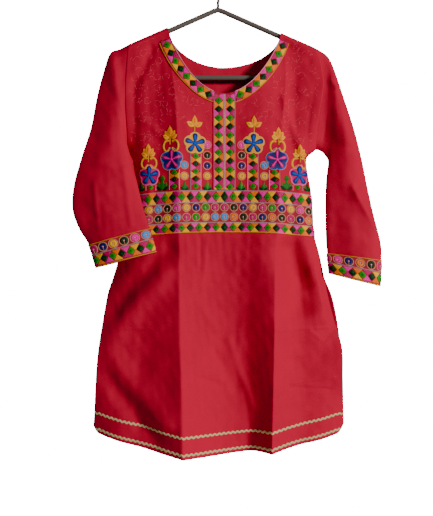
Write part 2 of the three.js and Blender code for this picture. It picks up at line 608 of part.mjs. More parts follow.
// Hanger: a round tube swept along a path in the XZ plane
function sweep(path, radius, sides, closed) {
  const n = path.length;
  const grid = path.map((point, i) => {
    const before = path[closed ? (i + n - 1) % n : Math.max(i - 1, 0)];
    const after = path[closed ? (i + 1) % n : Math.min(i + 1, n - 1)];
    const along = new THREE.Vector2(after[0] - before[0], after[1] - before[1]).normalize();
    return range(0, sides - 1).map((k) => {
      const angle = 2 * Math.PI * k / sides;
      const out = radius * Math.cos(angle);
      return new THREE.Vector3(point[0] - along.y * out, radius * Math.sin(angle), point[1] + along.x * out);
    });
  });
  const vertices = grid.flat();
  const at = (i, k) => (i % n) * sides + (k % sides);
  const triangles = [];
  for (let i = 0; i < (closed ? n : n - 1); i++) {
    for (let k = 0; k < sides; k++) {
      triangles.push([at(i, k), at(i + 1, k), at(i + 1, k + 1)], [at(i, k), at(i + 1, k + 1), at(i, k + 1)]);
    }
  }
  if (!closed) {
    for (let k = 1; k < sides - 1; k++) {
      triangles.push([at(0, 0), at(0, k), at(0, k + 1)], [at(n - 1, 0), at(n - 1, k + 1), at(n - 1, k)]);
    }
  }
  return outward({ vertices, triangles });
}

const TUBE_SIDES = 12;
const armZ = (x) => shoulderZ(x) - ARM_DROP;
const cornerZ = BAR_Z + CORNER.radius;
const armAngle = Math.atan(SHOULDER_SLOPE);
const CORNER_STEPS = 9;
const corner = range(0, CORNER_STEPS).map((i) => {
  const angle = lerp(Math.PI / 2 - armAngle, -Math.PI / 2, i / CORNER_STEPS);
  return [CORNER.x + CORNER.radius * Math.cos(angle), cornerZ + CORNER.radius * Math.sin(angle)];
});
const SHOULDER_STEPS = [8, 60, 120];
const rightHalf = [...SHOULDER_STEPS.map((x) => [x, armZ(x)]), ...corner, [84, BAR_Z]];
const leftHalf = rightHalf.map(([x, z]) => [-x, z]).reverse();
const loop = [[0, armZ(2)], ...rightHalf, [0, BAR_Z], ...leftHalf];

const hookRadius = HOOK_INNER + HOOK_WIRE;
const hookCircle = range(0, 16).map((i) => {
  const angle = THREE.MathUtils.degToRad(lerp(-50, 205, i / 16));
  return [hookRadius * Math.cos(angle), -HOOK_INNER + hookRadius * Math.sin(angle)];
});
const STEM = [[0, armZ(0)], [0, -54], [1.5, -45], [6, -36]];
const hook = [...STEM, ...hookCircle];
const hanger = toSolid(sweep(loop, TUBE_RADIUS, TUBE_SIDES, true))
  .add(toSolid(sweep(hook, HOOK_WIRE, TUBE_SIDES, false)));
add('hanger', fromSolid(hanger), PLASTIC);

export default group;
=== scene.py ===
import math

import bmesh
import bpy
import numpy as np
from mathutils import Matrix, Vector


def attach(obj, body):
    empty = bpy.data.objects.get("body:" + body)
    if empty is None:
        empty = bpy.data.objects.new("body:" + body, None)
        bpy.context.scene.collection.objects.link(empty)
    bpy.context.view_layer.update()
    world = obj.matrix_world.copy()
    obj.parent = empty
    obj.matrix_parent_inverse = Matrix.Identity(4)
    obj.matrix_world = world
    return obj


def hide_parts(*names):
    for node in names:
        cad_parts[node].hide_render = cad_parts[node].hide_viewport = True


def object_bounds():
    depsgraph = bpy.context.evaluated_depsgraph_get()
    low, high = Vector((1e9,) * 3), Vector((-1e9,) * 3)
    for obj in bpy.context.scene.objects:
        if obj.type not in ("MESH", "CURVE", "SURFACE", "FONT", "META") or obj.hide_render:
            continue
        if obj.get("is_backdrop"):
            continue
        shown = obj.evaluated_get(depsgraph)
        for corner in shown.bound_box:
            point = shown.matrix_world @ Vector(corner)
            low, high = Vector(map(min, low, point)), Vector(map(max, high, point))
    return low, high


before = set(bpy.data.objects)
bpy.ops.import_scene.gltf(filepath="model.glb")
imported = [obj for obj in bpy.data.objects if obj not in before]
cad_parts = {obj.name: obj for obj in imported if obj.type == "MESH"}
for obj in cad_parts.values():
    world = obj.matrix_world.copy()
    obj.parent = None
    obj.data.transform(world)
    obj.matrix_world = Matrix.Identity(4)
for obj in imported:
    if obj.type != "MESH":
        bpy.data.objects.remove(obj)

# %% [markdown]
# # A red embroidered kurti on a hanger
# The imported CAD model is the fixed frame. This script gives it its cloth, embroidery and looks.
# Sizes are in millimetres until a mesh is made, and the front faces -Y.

cad_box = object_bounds()
scene = bpy.context.scene
MM = 0.001
rng = np.random.default_rng(7)


def in_scene(name, data):
    made = bpy.data.objects.new(name, data)
    scene.collection.objects.link(made)
    return made


print("CAD box", cad_box)

# %% [markdown]
# ## Camera, light and backdrop
# The camera looks straight at the front. The image is portrait, and one pixel is 2 mm at y = 0.

# %%
IMAGE_HEIGHT = 516
PIXEL = 2
CAMERA_DISTANCE = 1250
SENSOR = 36
camera_data = bpy.data.cameras.new("camera")
camera = in_scene("camera", camera_data)
camera.location = (-0.003, -CAMERA_DISTANCE * MM, -0.564)
camera.rotation_euler = (math.pi / 2, 0, 0)
camera_data.sensor_fit = "VERTICAL"
camera_data.sensor_height = SENSOR
camera_data.lens = SENSOR * CAMERA_DISTANCE / (IMAGE_HEIGHT * PIXEL)
camera_data.clip_start = 0.05
scene.camera = camera


def area_light(name, place, target, size, watts, colour=(1, 1, 1)):
    data = bpy.data.lights.new(name, "AREA")
    data.shape = "DISK"
    data.size = size
    data.energy = watts
    data.color = colour
    light = in_scene(name, data)
    light.location = place
    away = light.location - Vector(target)
    light.rotation_euler = away.to_track_quat("Z", "Y").to_euler()
    return light


middle = (0, 0, -0.5)
area_light("key", (3.1, -2.9, 0.2), middle, 0.7, 385, (1, 0.98, 0.98))
area_light("fill", (-1.2, -2.8, 0.4), middle, 1.8, 16)
area_light("back_light", (-1.3, 2.6, 0.5), middle, 1.4, 185)

world = bpy.data.worlds.new("studio")
scene.world = world
world.use_nodes = True
nodes, links = world.node_tree.nodes, world.node_tree.links

# The backdrop looks white, while its light on the cloth stays soft and low.
sky, seen = nodes["Background"], nodes.new("ShaderNodeBackground")
for source, strength in ((sky, 0.17), (seen, 30.0)):
    source.inputs["Color"].default_value = (1, 1, 1, 1)
    source.inputs["Strength"].default_value = strength
ray = nodes.new("ShaderNodeLightPath")
either = nodes.new("ShaderNodeMixShader")
for k, source in enumerate((ray.outputs["Is Camera Ray"], sky.outputs[0], seen.outputs[0])):
    links.new(source, either.inputs[k])
links.new(either.outputs[0], nodes["World Output"].inputs[0])

# A view with more contrast and colour, as the photograph has.
scene.view_settings.look = "AgX - Punchy"

# %% [markdown]
# ## Tables of the garment's form
# They are the lines, folds and sleeve stations that the CAD pieces follow. Only the left armpit is
# closed by a few millimetres more, where the sleeve lies against the side.

# %%
WALL = 1.2
SEAM_GAP = 0.3
TRIM_LIFT = 0.3
APEX_Z = -59
SHOULDER_SLOPE = 0.44
SHOULDER_ROUND = 11
ARMPIT_Z = -348
CENTRE_X = 12.3
NECK_L_X = -100.6
NECK_R_X = 126
NECK_FRONT_Z = -240.3
NECK_FRONT_POWER = 1 / 1.2
NECK_BACK_DEPTH = 114
NECK_BACK_POWER = 0.6
BORDER_HALF_WIDTH = 130
BORDER_TOP_Z = -133
BORDER_BOTTOM_Z = -262
PLACKET_HALF_WIDTH = 21.3
WAIST_Z = -514
WAIST_DROOP = 9
BELT_HEIGHT = 82
HALF_BODY = 190
HEM_Z = -945
HEM_RISE = 37
HEM_HALF_WIDTH = 250
HEM_POWER = 1.7
HEM_CORNER = dict(start=235, width=15, lift=14)

# Rows: height z, place x, depth off the side seams. Sharp lines are pressed creases or edges.
UPPER_SIDE_L = [
    [-137, -178, 11], [-181, -181.6, 13], [-222, -183.7, 16], [-262, -183.5, 17], [-311, -181, 14],
    [-335, -180.5, 8], [-348, -180, 0], [-364, -176, 0], [-384, -171, 0], [-428, -170, 0],
    [-478, -176, 0], [-518, -184, 0], [-560, -197, 0], [-600, -209, 0]]
UPPER_SIDE_R = [
    [-142, 190, 11], [-171, 202.3, 13], [-213, 209, 16], [-242, 207, 17], [-276, 201, 17],
    [-315, 195.7, 13], [-335, 195.5, 8], [-348, 195, 0], [-364, 178, 0], [-398, 180, 0],
    [-430, 186, 0], [-518, 193, 0], [-557, 203, 0], [-600, 212, 0]]
FRONT_LINES = [
    (True, UPPER_SIDE_L + [
        [-638, -220, 6], [-708, -230, 22], [-756, -236, 28], [-816, -242, 18], [-878, -246.6, 7],
        [-908, -250, 5]]),
    (False, [
        [-120, -139, 11], [-172, -134, 14], [-254, -136, 22], [-353, -133, 26], [-431, -129, 26],
        [-519, -133, 30], [-626, -144, 34], [-723, -152, 36], [-840, -163, 36], [-927, -171, 36]]),
    (True, [
        [-103, -100.6, 11], [-142, -99, 14], [-195, -90.3, 24], [-257, -82.6, 36], [-317, -79.3, 42],
        [-375, -77.3, 44], [-433, -76.3, 44], [-520, -76, 46], [-568, -75, 50], [-719, -72, 66],
        [-830, -68.6, 78], [-943, -66, 88]]),
    (False, [
        [-240, 12.3, 24], [-352, 13, 26], [-431, 13.4, 30], [-515, 13.5, 34], [-607, 21.4, 32],
        [-724, 35, 30], [-842, 51, 28], [-938, 58.7, 26]]),
    (True, [
        [-115, 126, 11], [-142, 131, 14], [-206, 134, 26], [-257, 130, 36], [-307, 126, 40],
        [-375, 122.6, 42], [-433, 119, 42], [-520, 113.7, 44], [-606, 109, 50], [-721, 107, 56],
        [-834, 104.4, 62], [-933, 102, 66]]),
    (False, [
        [-130, 160, 11], [-172, 160, 14], [-254, 157, 24], [-353, 158, 28], [-431, 156, 28],
        [-519, 160, 30], [-626, 166, 30], [-724, 170, 30], [-841, 176, 30], [-919, 180, 30]]),
    (True, UPPER_SIDE_R + [
        [-642, 220, 6], [-692, 231, 16], [-740, 243, 27], [-798, 244, 30], [-850, 248, 15],
        [-898, 251, 6]]),
]
BACK_LINES = [
    (True, UPPER_SIDE_L + [
        [-638, -222, 3], [-708, -233, 8], [-756, -238, 9], [-816, -244, 8], [-878, -248, 6],
        [-908, -250, 5]]),
    (False, [
        [-103, -100.6, 11], [-150, -98, 15], [-257, -90, 24], [-375, -86, 29], [-515, -84, 31],
        [-626, -88, 34], [-760, -94, 40], [-940, -98, 46]]),
    (False, [
        [-179, 12.3, 17], [-300, 12.3, 20], [-431, 12, 21], [-515, 10, 22], [-724, 4, 24],
        [-940, 0, 24]]),
    (False, [
        [-115, 126, 11], [-150, 124, 15], [-257, 118, 24], [-375, 112, 28], [-515, 106, 32],
        [-626, 104, 36], [-760, 102, 38], [-940, 104, 40]]),
    (True, UPPER_SIDE_R + [
        [-642, 229, 3], [-692, 240, 6], [-740, 246, 8], [-798, 247, 8], [-850, 249, 7],
        [-898, 251, 6]]),
]

# Main folds, as in the CAD: from x and z, to x and z, half width, height towards the viewer.
FRONT_FOLDS = [
    [-112, -596, -216, -712, 24, 9], [-96, -548, -206, -664, 20, -8],
    [-226, -752, -104, -870, 24, 8], [-214, -800, -124, -910, 22, -9],
    [128, -556, 206, -640, 26, -8], [140, -700, 224, -668, 24, 7],
    [-131, -150, -172, -240, 10, -4], [150, -770, 226, -752, 14, -4],
]
BACK_FOLDS = [
    [-180, -560, -60, -700, 24, 7], [170, -580, 60, -740, 24, 7],
    [-150, -230, -60, -330, 20, 5], [160, -220, 70, -320, 20, 5],
]

# Outer fold x, z, y; inner fold x, z, y; stand-off of front and back; bow of the seam.
SLEEVE_L = [
    [-178, -137, 0, -180, -348, 0, 17, 17, -5],
    [-196, -146, 0, -178, -360.5, -3, 17, 17, -4],
    [-216, -155, 0, -172.5, -368.9, -6, 17, 17, -3],
    [-229.8, -194.3, -1, -167.5, -379.8, -12, 17, 16, 0],
    [-242.2, -245, -4, -164.1, -395, -22, 16, 16, 0],
    [-252.6, -306.1, -10, -157.9, -415.9, -32, 15, 15, 0],
    [-268.1, -361, -18, -151.1, -442, -40, 14, 15, 0],
    [-283.1, -423, -26, -144.6, -465.8, -47, 14, 14, 0],
    [-283.8, -470.5, -32, -138.4, -485.3, -51, 14, 13, 0],
    [-269.6, -507.8, -38, -134.3, -498.8, -54, 14, 12, 0],
    [-250.2, -538.5, -44, -131.2, -507.5, -56, 14, 12, 0],
    [-234.4, -583.2, -50, -118.4, -553.5, -62, 14, 12, 0],
]
SLEEVE_R = [
    [190, -142, 0, 195, -348, 0, 17, 17, 17], [205, -150.4, 0, 202, -349, -1, 17, 17, 15],
    [219, -162, 0, 209, -354, -2, 17, 17, 10], [232, -190, -2, 216, -363, -4, 17, 17, 5],
    [250, -242, -4, 219, -370, -6, 17, 17, 0], [271, -308, -6, 218.6, -380, -8, 17, 17, 0],
    [286, -368, -8, 216, -398, -9, 17, 17, 0], [297, -424, -10, 213.6, -428, -10, 17, 16, 0],
    [309, -480, -12, 213, -480, -11, 17, 15, 0], [322, -534, -14, 214, -528, -12, 17, 15, 0],
    [323, -568, -15, 216, -554, -13, 17, 15, 0], [320, -620, -17, 220, -595, -14, 17, 15, 0],
]
CUFF_STATION = 10
LAST_STATION = 11
print("tables ready")

# %% [markdown]
# ## Fine creases
# Small wrinkles that the CAD leaves out, placed one by one. Each is a soft ridge or trough: from x and
# z, to x and z, half width, height towards the viewer.

# %%
FINE_FRONT = [
    [-61, -524, -58, -602, 4, 0.6], [-42, -524, -40, -575, 3.5, 0.5], [-33, -526, -35, -588, 3, -0.6],
    [-21, -524, -29, -612, 4, 0.7], [6, -524, 10, -596, 5, -0.5], [37, -524, 34, -590, 6, 0.5],
    [62, -524, 60, -570, 4, -0.4], [84, -524, 82, -590, 5, 0.4], [136, -526, 142, -590, 6, 0.5],
    [-108, -530, -112, -585, 6, 0.6], [-150, -530, -160, -600, 7, -0.8],
    [192, -590, 207, -665, 22, 12], [146, -545, 160, -650, 27, -14], [-118, -650, -122, -950, 38, 8],
    [-114, -560, -116, -610, 32, 3.5], [98, -535, 94, -800, 42, 8],
    [21, -724, 68, -855, 8, 2.2], [-35, -795, 9, -812, 6, -1.5],
    [-5, -745, 34, -820, 8, -1.4], [44, -700, 40, -742, 6, 0.8],
    [-72, -702, 40, -705, 2.6, 0.8], [109, -702, 236, -700, 2.6, 0.9], [-198, -700, -76, -703, 2.6, 0.6],
    [-48, -588, 8, -592, 2.6, 0.6], [-30, -614, 42, -618, 3, -0.6], [-150, -590, -82, -588, 2.6, 0.4],
    [142, -806, 226, -796, 3.5, 1.8], [142, -815, 220, -821, 3.5, -1.6], [150, -640, 214, -608, 7, 1.6],
    [180, -706, 204, -726, 4, 1.4], [204, -726, 228, -706, 4, -1.4], [120, -880, 170, -860, 8, 1.8],
    [-150, -870, -90, -880, 8, 1.6], [-40, -640, -10, -700, 9, 1.0],
    [128, -250, 167, -369, 8, 3.5], [152, -240, 150, -345, 50, -9], [134, -150, 131, -320, 30, -8],
    [-166, -215, -168, -330, 12, -4], [-60, -300, -40, -420, 10, 1.4], [60, -310, 76, -420, 10, 1.4],
    [-170, -380, -110, -405, 7, 2.0], [178, -380, 120, -412, 7, 2.0], [-150, -290, -105, -330, 8, 2],
]
FINE_BACK = [
    [-150, -380, -60, -440, 10, 2.4], [160, -390, 70, -450, 10, 2.4], [-40, -300, -60, -560, 12, 1.8],
    [60, -330, 80, -600, 12, 1.8], [-100, -720, -60, -900, 12, -3], [20, -640, 40, -900, 13, 3],
    [150, -700, 170, -880, 12, -3], [-190, -760, -120, -850, 10, 2.4], [-20, -470, 40, -520, 9, 1.6],
]
FINE_SLEEVES = [
    [-228, -225, -258, -365, 24, -5], [-264, -425, -254, -500, 20, -4], [-204, -175, -180, -300, 13, 5],
    [-190, -215, -178, -300, 9, -4], [-127, -138, -182, -244, 9, 4], [-193, -176, -176, -219, 8, -3],
    [-240, -420, -229, -504, 5, 1.6], [-181, -391, -165, -500, 6, 2.2], [-250, -330, -190, -352, 9, -1.4],
    [-258, -372, -176, -395, 9, 1.6], [-250, -455, -160, -462, 8, 1.4], [-225, -492, -160, -486, 7, -1.2],
    [224, -330, 232, -560, 22, -6], [256, -240, 282, -370, 20, 5], [304, -515, 314, -610, 30, 9],
    [205, -165, 208, -320, 14, -3], [236, -190, 252, -330, 22, 8], [265, -430, 311, -505, 8, 8],
    [263, -432, 294, -411, 6, -2],
    [246, -450, 292, -522, 14, -3], [221, -216, 233, -228, 6, 3], [186, -156, 214, -168, 9, 3],
    [224, -340, 280, -352, 8, -1.8], [226, -462, 292, -470, 8, 1.4], [230, -505, 300, -520, 8, -1.4],
]

# A faint crumple over all cloth: slow waves in many directions with fixed random phases.
CRUMPLE = [
    (math.cos(a) * 2 * math.pi / length, math.sin(a) * 2 * math.pi / length, phase, height)
    for a, phase, length, height in zip(
        rng.uniform(0, math.pi, 26), rng.uniform(0, 2 * math.pi, 26),
        np.geomspace(95, 13, 26), np.geomspace(0.22, 0.06, 26))
]


def crumple(x, z):
    total = np.zeros(np.broadcast(x, z).shape)
    for kx, kz, phase, height in CRUMPLE:
        total = total + height * np.sin(kx * x + kz * z + phase + 0.8 * np.sin(0.02 * z - 0.013 * x))
    return total


print(len(FINE_FRONT) + len(FINE_BACK) + len(FINE_SLEEVES), "fine creases")

# %% [markdown]
# ## Functions of the form

# %%
def lerp(a, b, t):
    return a + (b - a) * t


def clamp01(t):
    return np.clip(t, 0, 1)


def smooth_at(rows, column, key):
    """A column of a table on a smooth curve through its rows, for an array of keys."""
    rows = np.asarray(rows, float)
    keys, values = rows[:, 0], rows[:, column]
    key = np.asarray(key, float)
    sign = -1 if keys[0] > keys[-1] else 1
    last = len(keys) - 1
    i = np.clip(np.searchsorted(sign * keys, sign * key, side="left") - 1, 0, last - 1)
    before, after = np.maximum(i - 1, 0), np.minimum(i + 2, last)
    span = keys[i + 1] - keys[i]
    t = clamp01((key - keys[i]) / span)
    slope_in = (values[i + 1] - values[before]) / (keys[i + 1] - keys[before]) * span
    slope_out = (values[after] - values[i]) / (keys[after] - keys[i]) * span
    t2, t3 = t * t, t * t * t
    return ((2 * t3 - 3 * t2 + 1) * values[i] + (t3 - 2 * t2 + t) * slope_in
            + (3 * t2 - 2 * t3) * values[i + 1] + (t3 - t2) * slope_out)


def shoulder_z(x):
    return APEX_Z - SHOULDER_SLOPE * np.abs(x)


def waist_z(x):
    return WAIST_Z - WAIST_DROOP * ((x - CENTRE_X) / HALF_BODY) ** 2


def belt_top_z(x):
    return waist_z(x) + BELT_HEIGHT


def hem_z(x):
    corner = np.maximum(0, (np.abs(x) - HEM_CORNER["start"]) / HEM_CORNER["width"])
    return HEM_Z + HEM_RISE * (np.abs(x) / HEM_HALF_WIDTH) ** HEM_POWER + HEM_CORNER["lift"] * corner ** 2


def neck_z(x, bottom, power):
    point = np.where(x < CENTRE_X, NECK_L_X, NECK_R_X)
    reach = clamp01(np.abs((x - CENTRE_X) / (point - CENTRE_X)))
    return lerp(shoulder_z(point), bottom, (1 - reach ** 2) ** power)


def fold_height(folds, x, z):
    height = np.zeros(np.broadcast(x, z).shape)
    for x1, z1, x2, z2, width, rise in folds:
        dx, dz = x2 - x1, z2 - z1
        t = clamp01(((x - x1) * dx + (z - z1) * dz) / (dx * dx + dz * dz))
        across = np.hypot(x - x1 - t * dx, z - z1 - t * dz) / width
        height = height + rise * np.exp(-across * across)
    return height


def section_depth(lines, x, z):
    places = np.array([smooth_at(rows, 1, z) for _, rows in lines])
    depths = np.array([smooth_at(rows, 2, z) for _, rows in lines])
    i = np.sum([x > places[k] for k in range(1, len(lines) - 1)], axis=0)
    pick = lambda table, k: np.take_along_axis(table, k[None], 0)[0]
    left, right = pick(places, i), pick(places, i + 1)
    a, b = pick(depths, i), pick(depths, i + 1)
    t = clamp01((x - left) / (right - left))
    sharp = np.array([line[0] for line in lines])
    from_sharp = lerp(a, b, np.sin(t * np.pi / 2))
    to_sharp = lerp(b, a, np.sin((1 - t) * np.pi / 2))
    level = lerp(a, b, (1 - np.cos(t * np.pi)) / 2)
    return np.where(sharp[i], from_sharp, np.where(sharp[i + 1], to_sharp, level))


class Panel:
    """The front or the back: its lines, folds, neckline and the strips between its lines."""

    def __init__(self, lines, folds, fine, side, neck, strips, neck_strips, neck_power):
        self.lines, self.folds, self.fine, self.side = lines, folds, fine, side
        self.neck, self.strips = neck, strips
        self.neck_strips, self.neck_power = neck_strips, neck_power

    def side_x(self, k, z):
        return smooth_at(self.lines[k][1], 1, z)

    def y(self, x, z):
        x, z = np.broadcast_arrays(np.asarray(x, float), np.asarray(z, float))
        drop = clamp01((shoulder_z(x) - z) / SHOULDER_ROUND)
        over_arm = np.sqrt(np.maximum(0, 1 - (1 - drop) ** 2))
        left, right = self.side_x(0, z), self.side_x(-1, z)
        from_edge = np.minimum(np.abs(x - left), np.abs(x - right))
        folds = fold_height(self.folds, x, z) * clamp01(from_edge / 40)
        ease = clamp01(from_edge / 18) * clamp01((shoulder_z(x) - z) / 25)
        fine = (fold_height(self.fine, x, z) + crumple(x, z)) * ease
        depth = (section_depth(self.lines, x, z) + folds) * over_arm + fine
        return self.side * (SEAM_GAP / 2 + np.maximum(0, depth))

    def at(self, x, z, height=0.0):
        """Points on the panel, raised by height along its outward normal."""
        step = 1.0
        y = self.y(x, z)
        slope_x = (self.y(x + step, z) - self.y(x - step, z)) / (2 * step)
        slope_z = (self.y(x, z + step) - self.y(x, z - step)) / (2 * step)
        normal = np.stack([slope_x, -np.ones_like(y), slope_z], -1) * -self.side
        normal /= np.linalg.norm(normal, axis=-1, keepdims=True)
        base = np.stack([np.broadcast_to(x, y.shape), y, np.broadcast_to(z, y.shape)], -1)
        return base + normal * np.asarray(height)[..., None]

    def column_x(self, column, z):
        column, z = np.broadcast_arrays(np.asarray(column, float), np.asarray(z, float))
        starts = np.concatenate([[0], np.cumsum(self.strips)])
        i = np.clip(np.searchsorted(starts, column, side="left") - 1, 0, len(self.strips) - 1)
        t = (column - starts[i]) / np.asarray(self.strips)[i]
        crowding = (1 + np.cos(np.pi * clamp01((z + 150) / (-340 + 150)))) / 2
        left_crowd = lerp(t, t ** self.neck_power, crowding)
        right_crowd = 1 - lerp(1 - t, (1 - t) ** self.neck_power, crowding)
        first, second = self.neck_strips
        fraction = np.where(i == first, left_crowd, np.where(i == second, right_crowd, t))
        places = np.array([smooth_at(rows, 1, z) for _, rows in self.lines])
        left = np.take_along_axis(places, i[None], 0)[0]
        right = np.take_along_axis(places, i[None] + 1, 0)[0]
        return lerp(left, right, fraction)

    def top_z(self, column):
        low = np.full(np.shape(column), NECK_FRONT_Z - 10.0)
        high = np.full(np.shape(column), float(APEX_Z))
        for _ in range(30):
            centre = (low + high) / 2
            x = self.column_x(column, centre)
            in_neck = (x > NECK_L_X) & (x < NECK_R_X)
            edge = np.where(in_neck, np.minimum(self.neck(x), shoulder_z(x)), shoulder_z(x))
            above = centre > edge
            high, low = np.where(above, centre, high), np.where(above, low, centre)
        return low


def neck_front(x):
    return neck_z(x, NECK_FRONT_Z, NECK_FRONT_POWER)


def neck_back(x):
    return neck_z(x, shoulder_z(CENTRE_X) - NECK_BACK_DEPTH, NECK_BACK_POWER)


FRONT = Panel(FRONT_LINES, FRONT_FOLDS, FINE_FRONT, -1, neck_front, [4, 4, 9, 9, 4, 4], (2, 3), 2.4)
BACK = Panel(BACK_LINES, BACK_FOLDS, FINE_BACK, 1, neck_back, [5, 6, 6, 5], (1, 2), 3)


class Sleeve:
    """A sleeve round its two folds: v runs 0 to 1 down the front and 1 to 2 up the back."""

    def __init__(self, table, side):
        self.rows = [[k, *row] for k, row in enumerate(table)]
        self.side = side

    def raw(self, station, t, face):
        get = lambda column: smooth_at(self.rows, column, station)
        bow = get(9) * np.sin(np.pi * t ** 0.6)
        x = lerp(get(1), get(4), t) + bow
        room_for_wall = WALL * clamp01(station / 2)
        stand = (np.where(face < 0, get(7), get(8)) + room_for_wall) * np.sin(np.pi * t) ** 0.6
        y = lerp(get(3), get(6), t) + face * stand
        return np.stack([x, y, lerp(get(2), get(5), t)], -1)

    def armhole(self, t, face):
        column = 0.0 if self.side < 0 else 1.0
        points = []
        for panel in (FRONT, BACK):
            k = column * sum(panel.strips)
            top = panel.top_z(np.array([k]))[0]
            z = lerp(top, ARMPIT_Z, t)
            x = panel.column_x(np.full(np.shape(t), k), z)
            points.append(np.stack([x, panel.y(x, z), z], -1))
        return np.where((face < 0)[..., None], points[0], points[1])

    def surface(self, v, station):
        v, station = np.broadcast_arrays(np.mod(v, 2.0), np.asarray(station, float))
        face = np.where(v < 1, -1.0, 1.0)
        turn = np.where(v < 1, v, 2 - v)
        t = clamp01((1 - np.cos(np.pi * turn)) / 2)
        base = self.raw(station, t, face)
        moved = self.armhole(t, face) - self.raw(np.zeros_like(t), t, face)
        moved[..., 1] *= np.sin(np.pi * t) > 0.001
        weight = (1 - clamp01(station / 2)) ** 2
        base = base + moved * weight[..., None]
        base[..., 0] -= self.side * 0.3
        ease = np.sin(np.pi * t) ** 0.5 * clamp01(station / 1.5) * clamp01((11.4 - station) / 1.4)
        offset = 37.0 * (face > 0)
        wrinkle = fold_height(FINE_SLEEVES, base[..., 0] + offset * 0.4, base[..., 2] + offset)
        base[..., 1] += face * ease * (wrinkle + crumple(base[..., 0] + offset, base[..., 2]))
        return base

    def at(self, v, station, height=0.0):
        dv, ds = 0.004, 0.02
        base = self.surface(v, station)
        around = self.surface(v + dv, station) - self.surface(v - dv, station)
        along = self.surface(v, np.minimum(station + ds, LAST_STATION)) - self.surface(v, station - ds)
        normal = np.cross(around, along) * self.side
        normal /= np.linalg.norm(normal, axis=-1, keepdims=True) + 1e-9
        return base + normal * np.asarray(height)[..., None]


SLEEVES = {"l": Sleeve(SLEEVE_L, -1), "r": Sleeve(SLEEVE_R, 1)}
print("front at the waist", FRONT.at(np.array([0.0]), np.array([-500.0])))

# %% [markdown]
# ## Cloth pieces
# Each is one fine grid whose points are moved on to the form, with a Solidify wall inside it.

# %%
def grid_piece(name, columns, rows, place, cloth_size, node, slot="cotton", wall=WALL, closed=False,
               outward=None):
    """A grid of columns by rows. place(u, v) gives points in mm and the size sets its UV in cm."""
    bm = bmesh.new()
    bmesh.ops.create_grid(bm, x_segments=columns, y_segments=rows, size=0.5)
    bm.verts.ensure_lookup_table()
    flat = np.array([v.co[:2] for v in bm.verts]) + 0.5
    points = place(flat[:, 0], flat[:, 1])
    uv = bm.loops.layers.uv.new("cloth")
    for vert, point in zip(bm.verts, points):
        vert.co = point * MM
    for face in bm.faces:
        for loop in face.loops:
            u, v = flat[loop.vert.index]
            loop[uv].uv = (u * cloth_size[0] / 10, v * cloth_size[1] / 10)
        face.smooth = True
    bm.normal_update()
    if closed:
        bmesh.ops.remove_doubles(bm, verts=bm.verts, dist=0.00004)
    bm.normal_update()
    outside = sum(f.normal.dot(outward(f.calc_center_median())) for f in bm.faces)
    if outside < 0:
        bmesh.ops.reverse_faces(bm, faces=bm.faces)
    mesh = bpy.data.meshes.new(name)
    bm.to_mesh(mesh)
    bm.free()
    piece = in_scene(name, mesh)
    shell = piece.modifiers.new("wall", "SOLIDIFY")
    shell.thickness = wall * MM
    shell.offset = -1
    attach(piece, "root")
    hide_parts(node)
    print(name, len(mesh.polygons), "faces")
    return piece


TO_FRONT = lambda centre: Vector((0, -1, 0))
TO_BACK = lambda centre: Vector((0, 1, 0))


def share_rows(v, lower_share, spread):
    """Rows evenly spaced below the armpit, and closer towards the top edge."""
    return np.where(v < lower_share, v / lower_share * 0.5, 0.5 + 0.5 * (
        1 - (1 - (v - lower_share) / (1 - lower_share)) ** spread))


def past_armpit(panel, column, bottom, s):
    """Heights from the bottom edge (s = 0) past the armpit (0.5) to the top edge (1)."""
    last = float(sum(panel.strips))
    top = panel.top_z(column)
    side_top = panel.top_z(np.where(column < last / 2, 0.0, last))
    armpit = lerp(bottom, top, (ARMPIT_Z - bottom) / (side_top - bottom))
    return np.where(s < 0.5, lerp(bottom, armpit, s * 2), lerp(armpit, top, s * 2 - 1))


def bodice_place(u, v):
    column = u * sum(FRONT.strips)
    bottom = waist_z(FRONT.column_x(column, WAIST_Z)) + SEAM_GAP / 2
    z = past_armpit(FRONT, column, bottom, share_rows(v, 0.42, 1.5))
    return FRONT.at(FRONT.column_x(column, z), z)


def skirt_place(u, v):
    column = u * sum(FRONT.strips)
    top = waist_z(FRONT.column_x(column, WAIST_Z)) - SEAM_GAP / 2
    z = top
    for _ in range(6):
        z = lerp(top, hem_z(FRONT.column_x(column, z)), v)
    return FRONT.at(FRONT.column_x(column, z), z)


def back_place(u, v):
    column = u * sum(BACK.strips)
    bottom = hem_z(BACK.column_x(column, HEM_Z))
    z = past_armpit(BACK, column, bottom, share_rows(v, 0.66, 1.5))
    return BACK.at(BACK.column_x(column, z), z)


cloth = {}
cloth["front_bodice"] = grid_piece(
    "bodice_cloth", 170, 150, bodice_place, (400, 420), "front_bodice", outward=TO_FRONT)
cloth["front_skirt"] = grid_piece(
    "skirt_cloth", 210, 180, skirt_place, (520, 430), "front_skirt", outward=TO_FRONT)
cloth["back"] = grid_piece(
    "back_cloth", 150, 220, back_place, (480, 850), "back", outward=TO_BACK)

for suffix, sleeve in SLEEVES.items():
    def sleeve_place(u, v, sleeve=sleeve):
        return sleeve.at(u * 2, v * LAST_STATION)

    def from_arm(centre, sleeve=sleeve):
        station = np.interp(-centre.z / MM, [142, 600], [0, LAST_STATION])
        return Vector((0, -1 if centre.y / MM < smooth_at(sleeve.rows, 3, station) else 1, 0))

    cloth["sleeve_" + suffix] = grid_piece(
        "sleeve_cloth_" + suffix, 120, 150, sleeve_place, (300, 430), "sleeve_" + suffix,
        closed=True, outward=from_arm)

# %% [markdown]
# ## Grounds of the borders
# The neck, placket, waist and cuff borders are worked on a layer of their own, just above the cotton.

# %%
GROUND_TOP = 1.3
NECK_FROM, NECK_TO = math.radians(10), math.pi - math.radians(8)


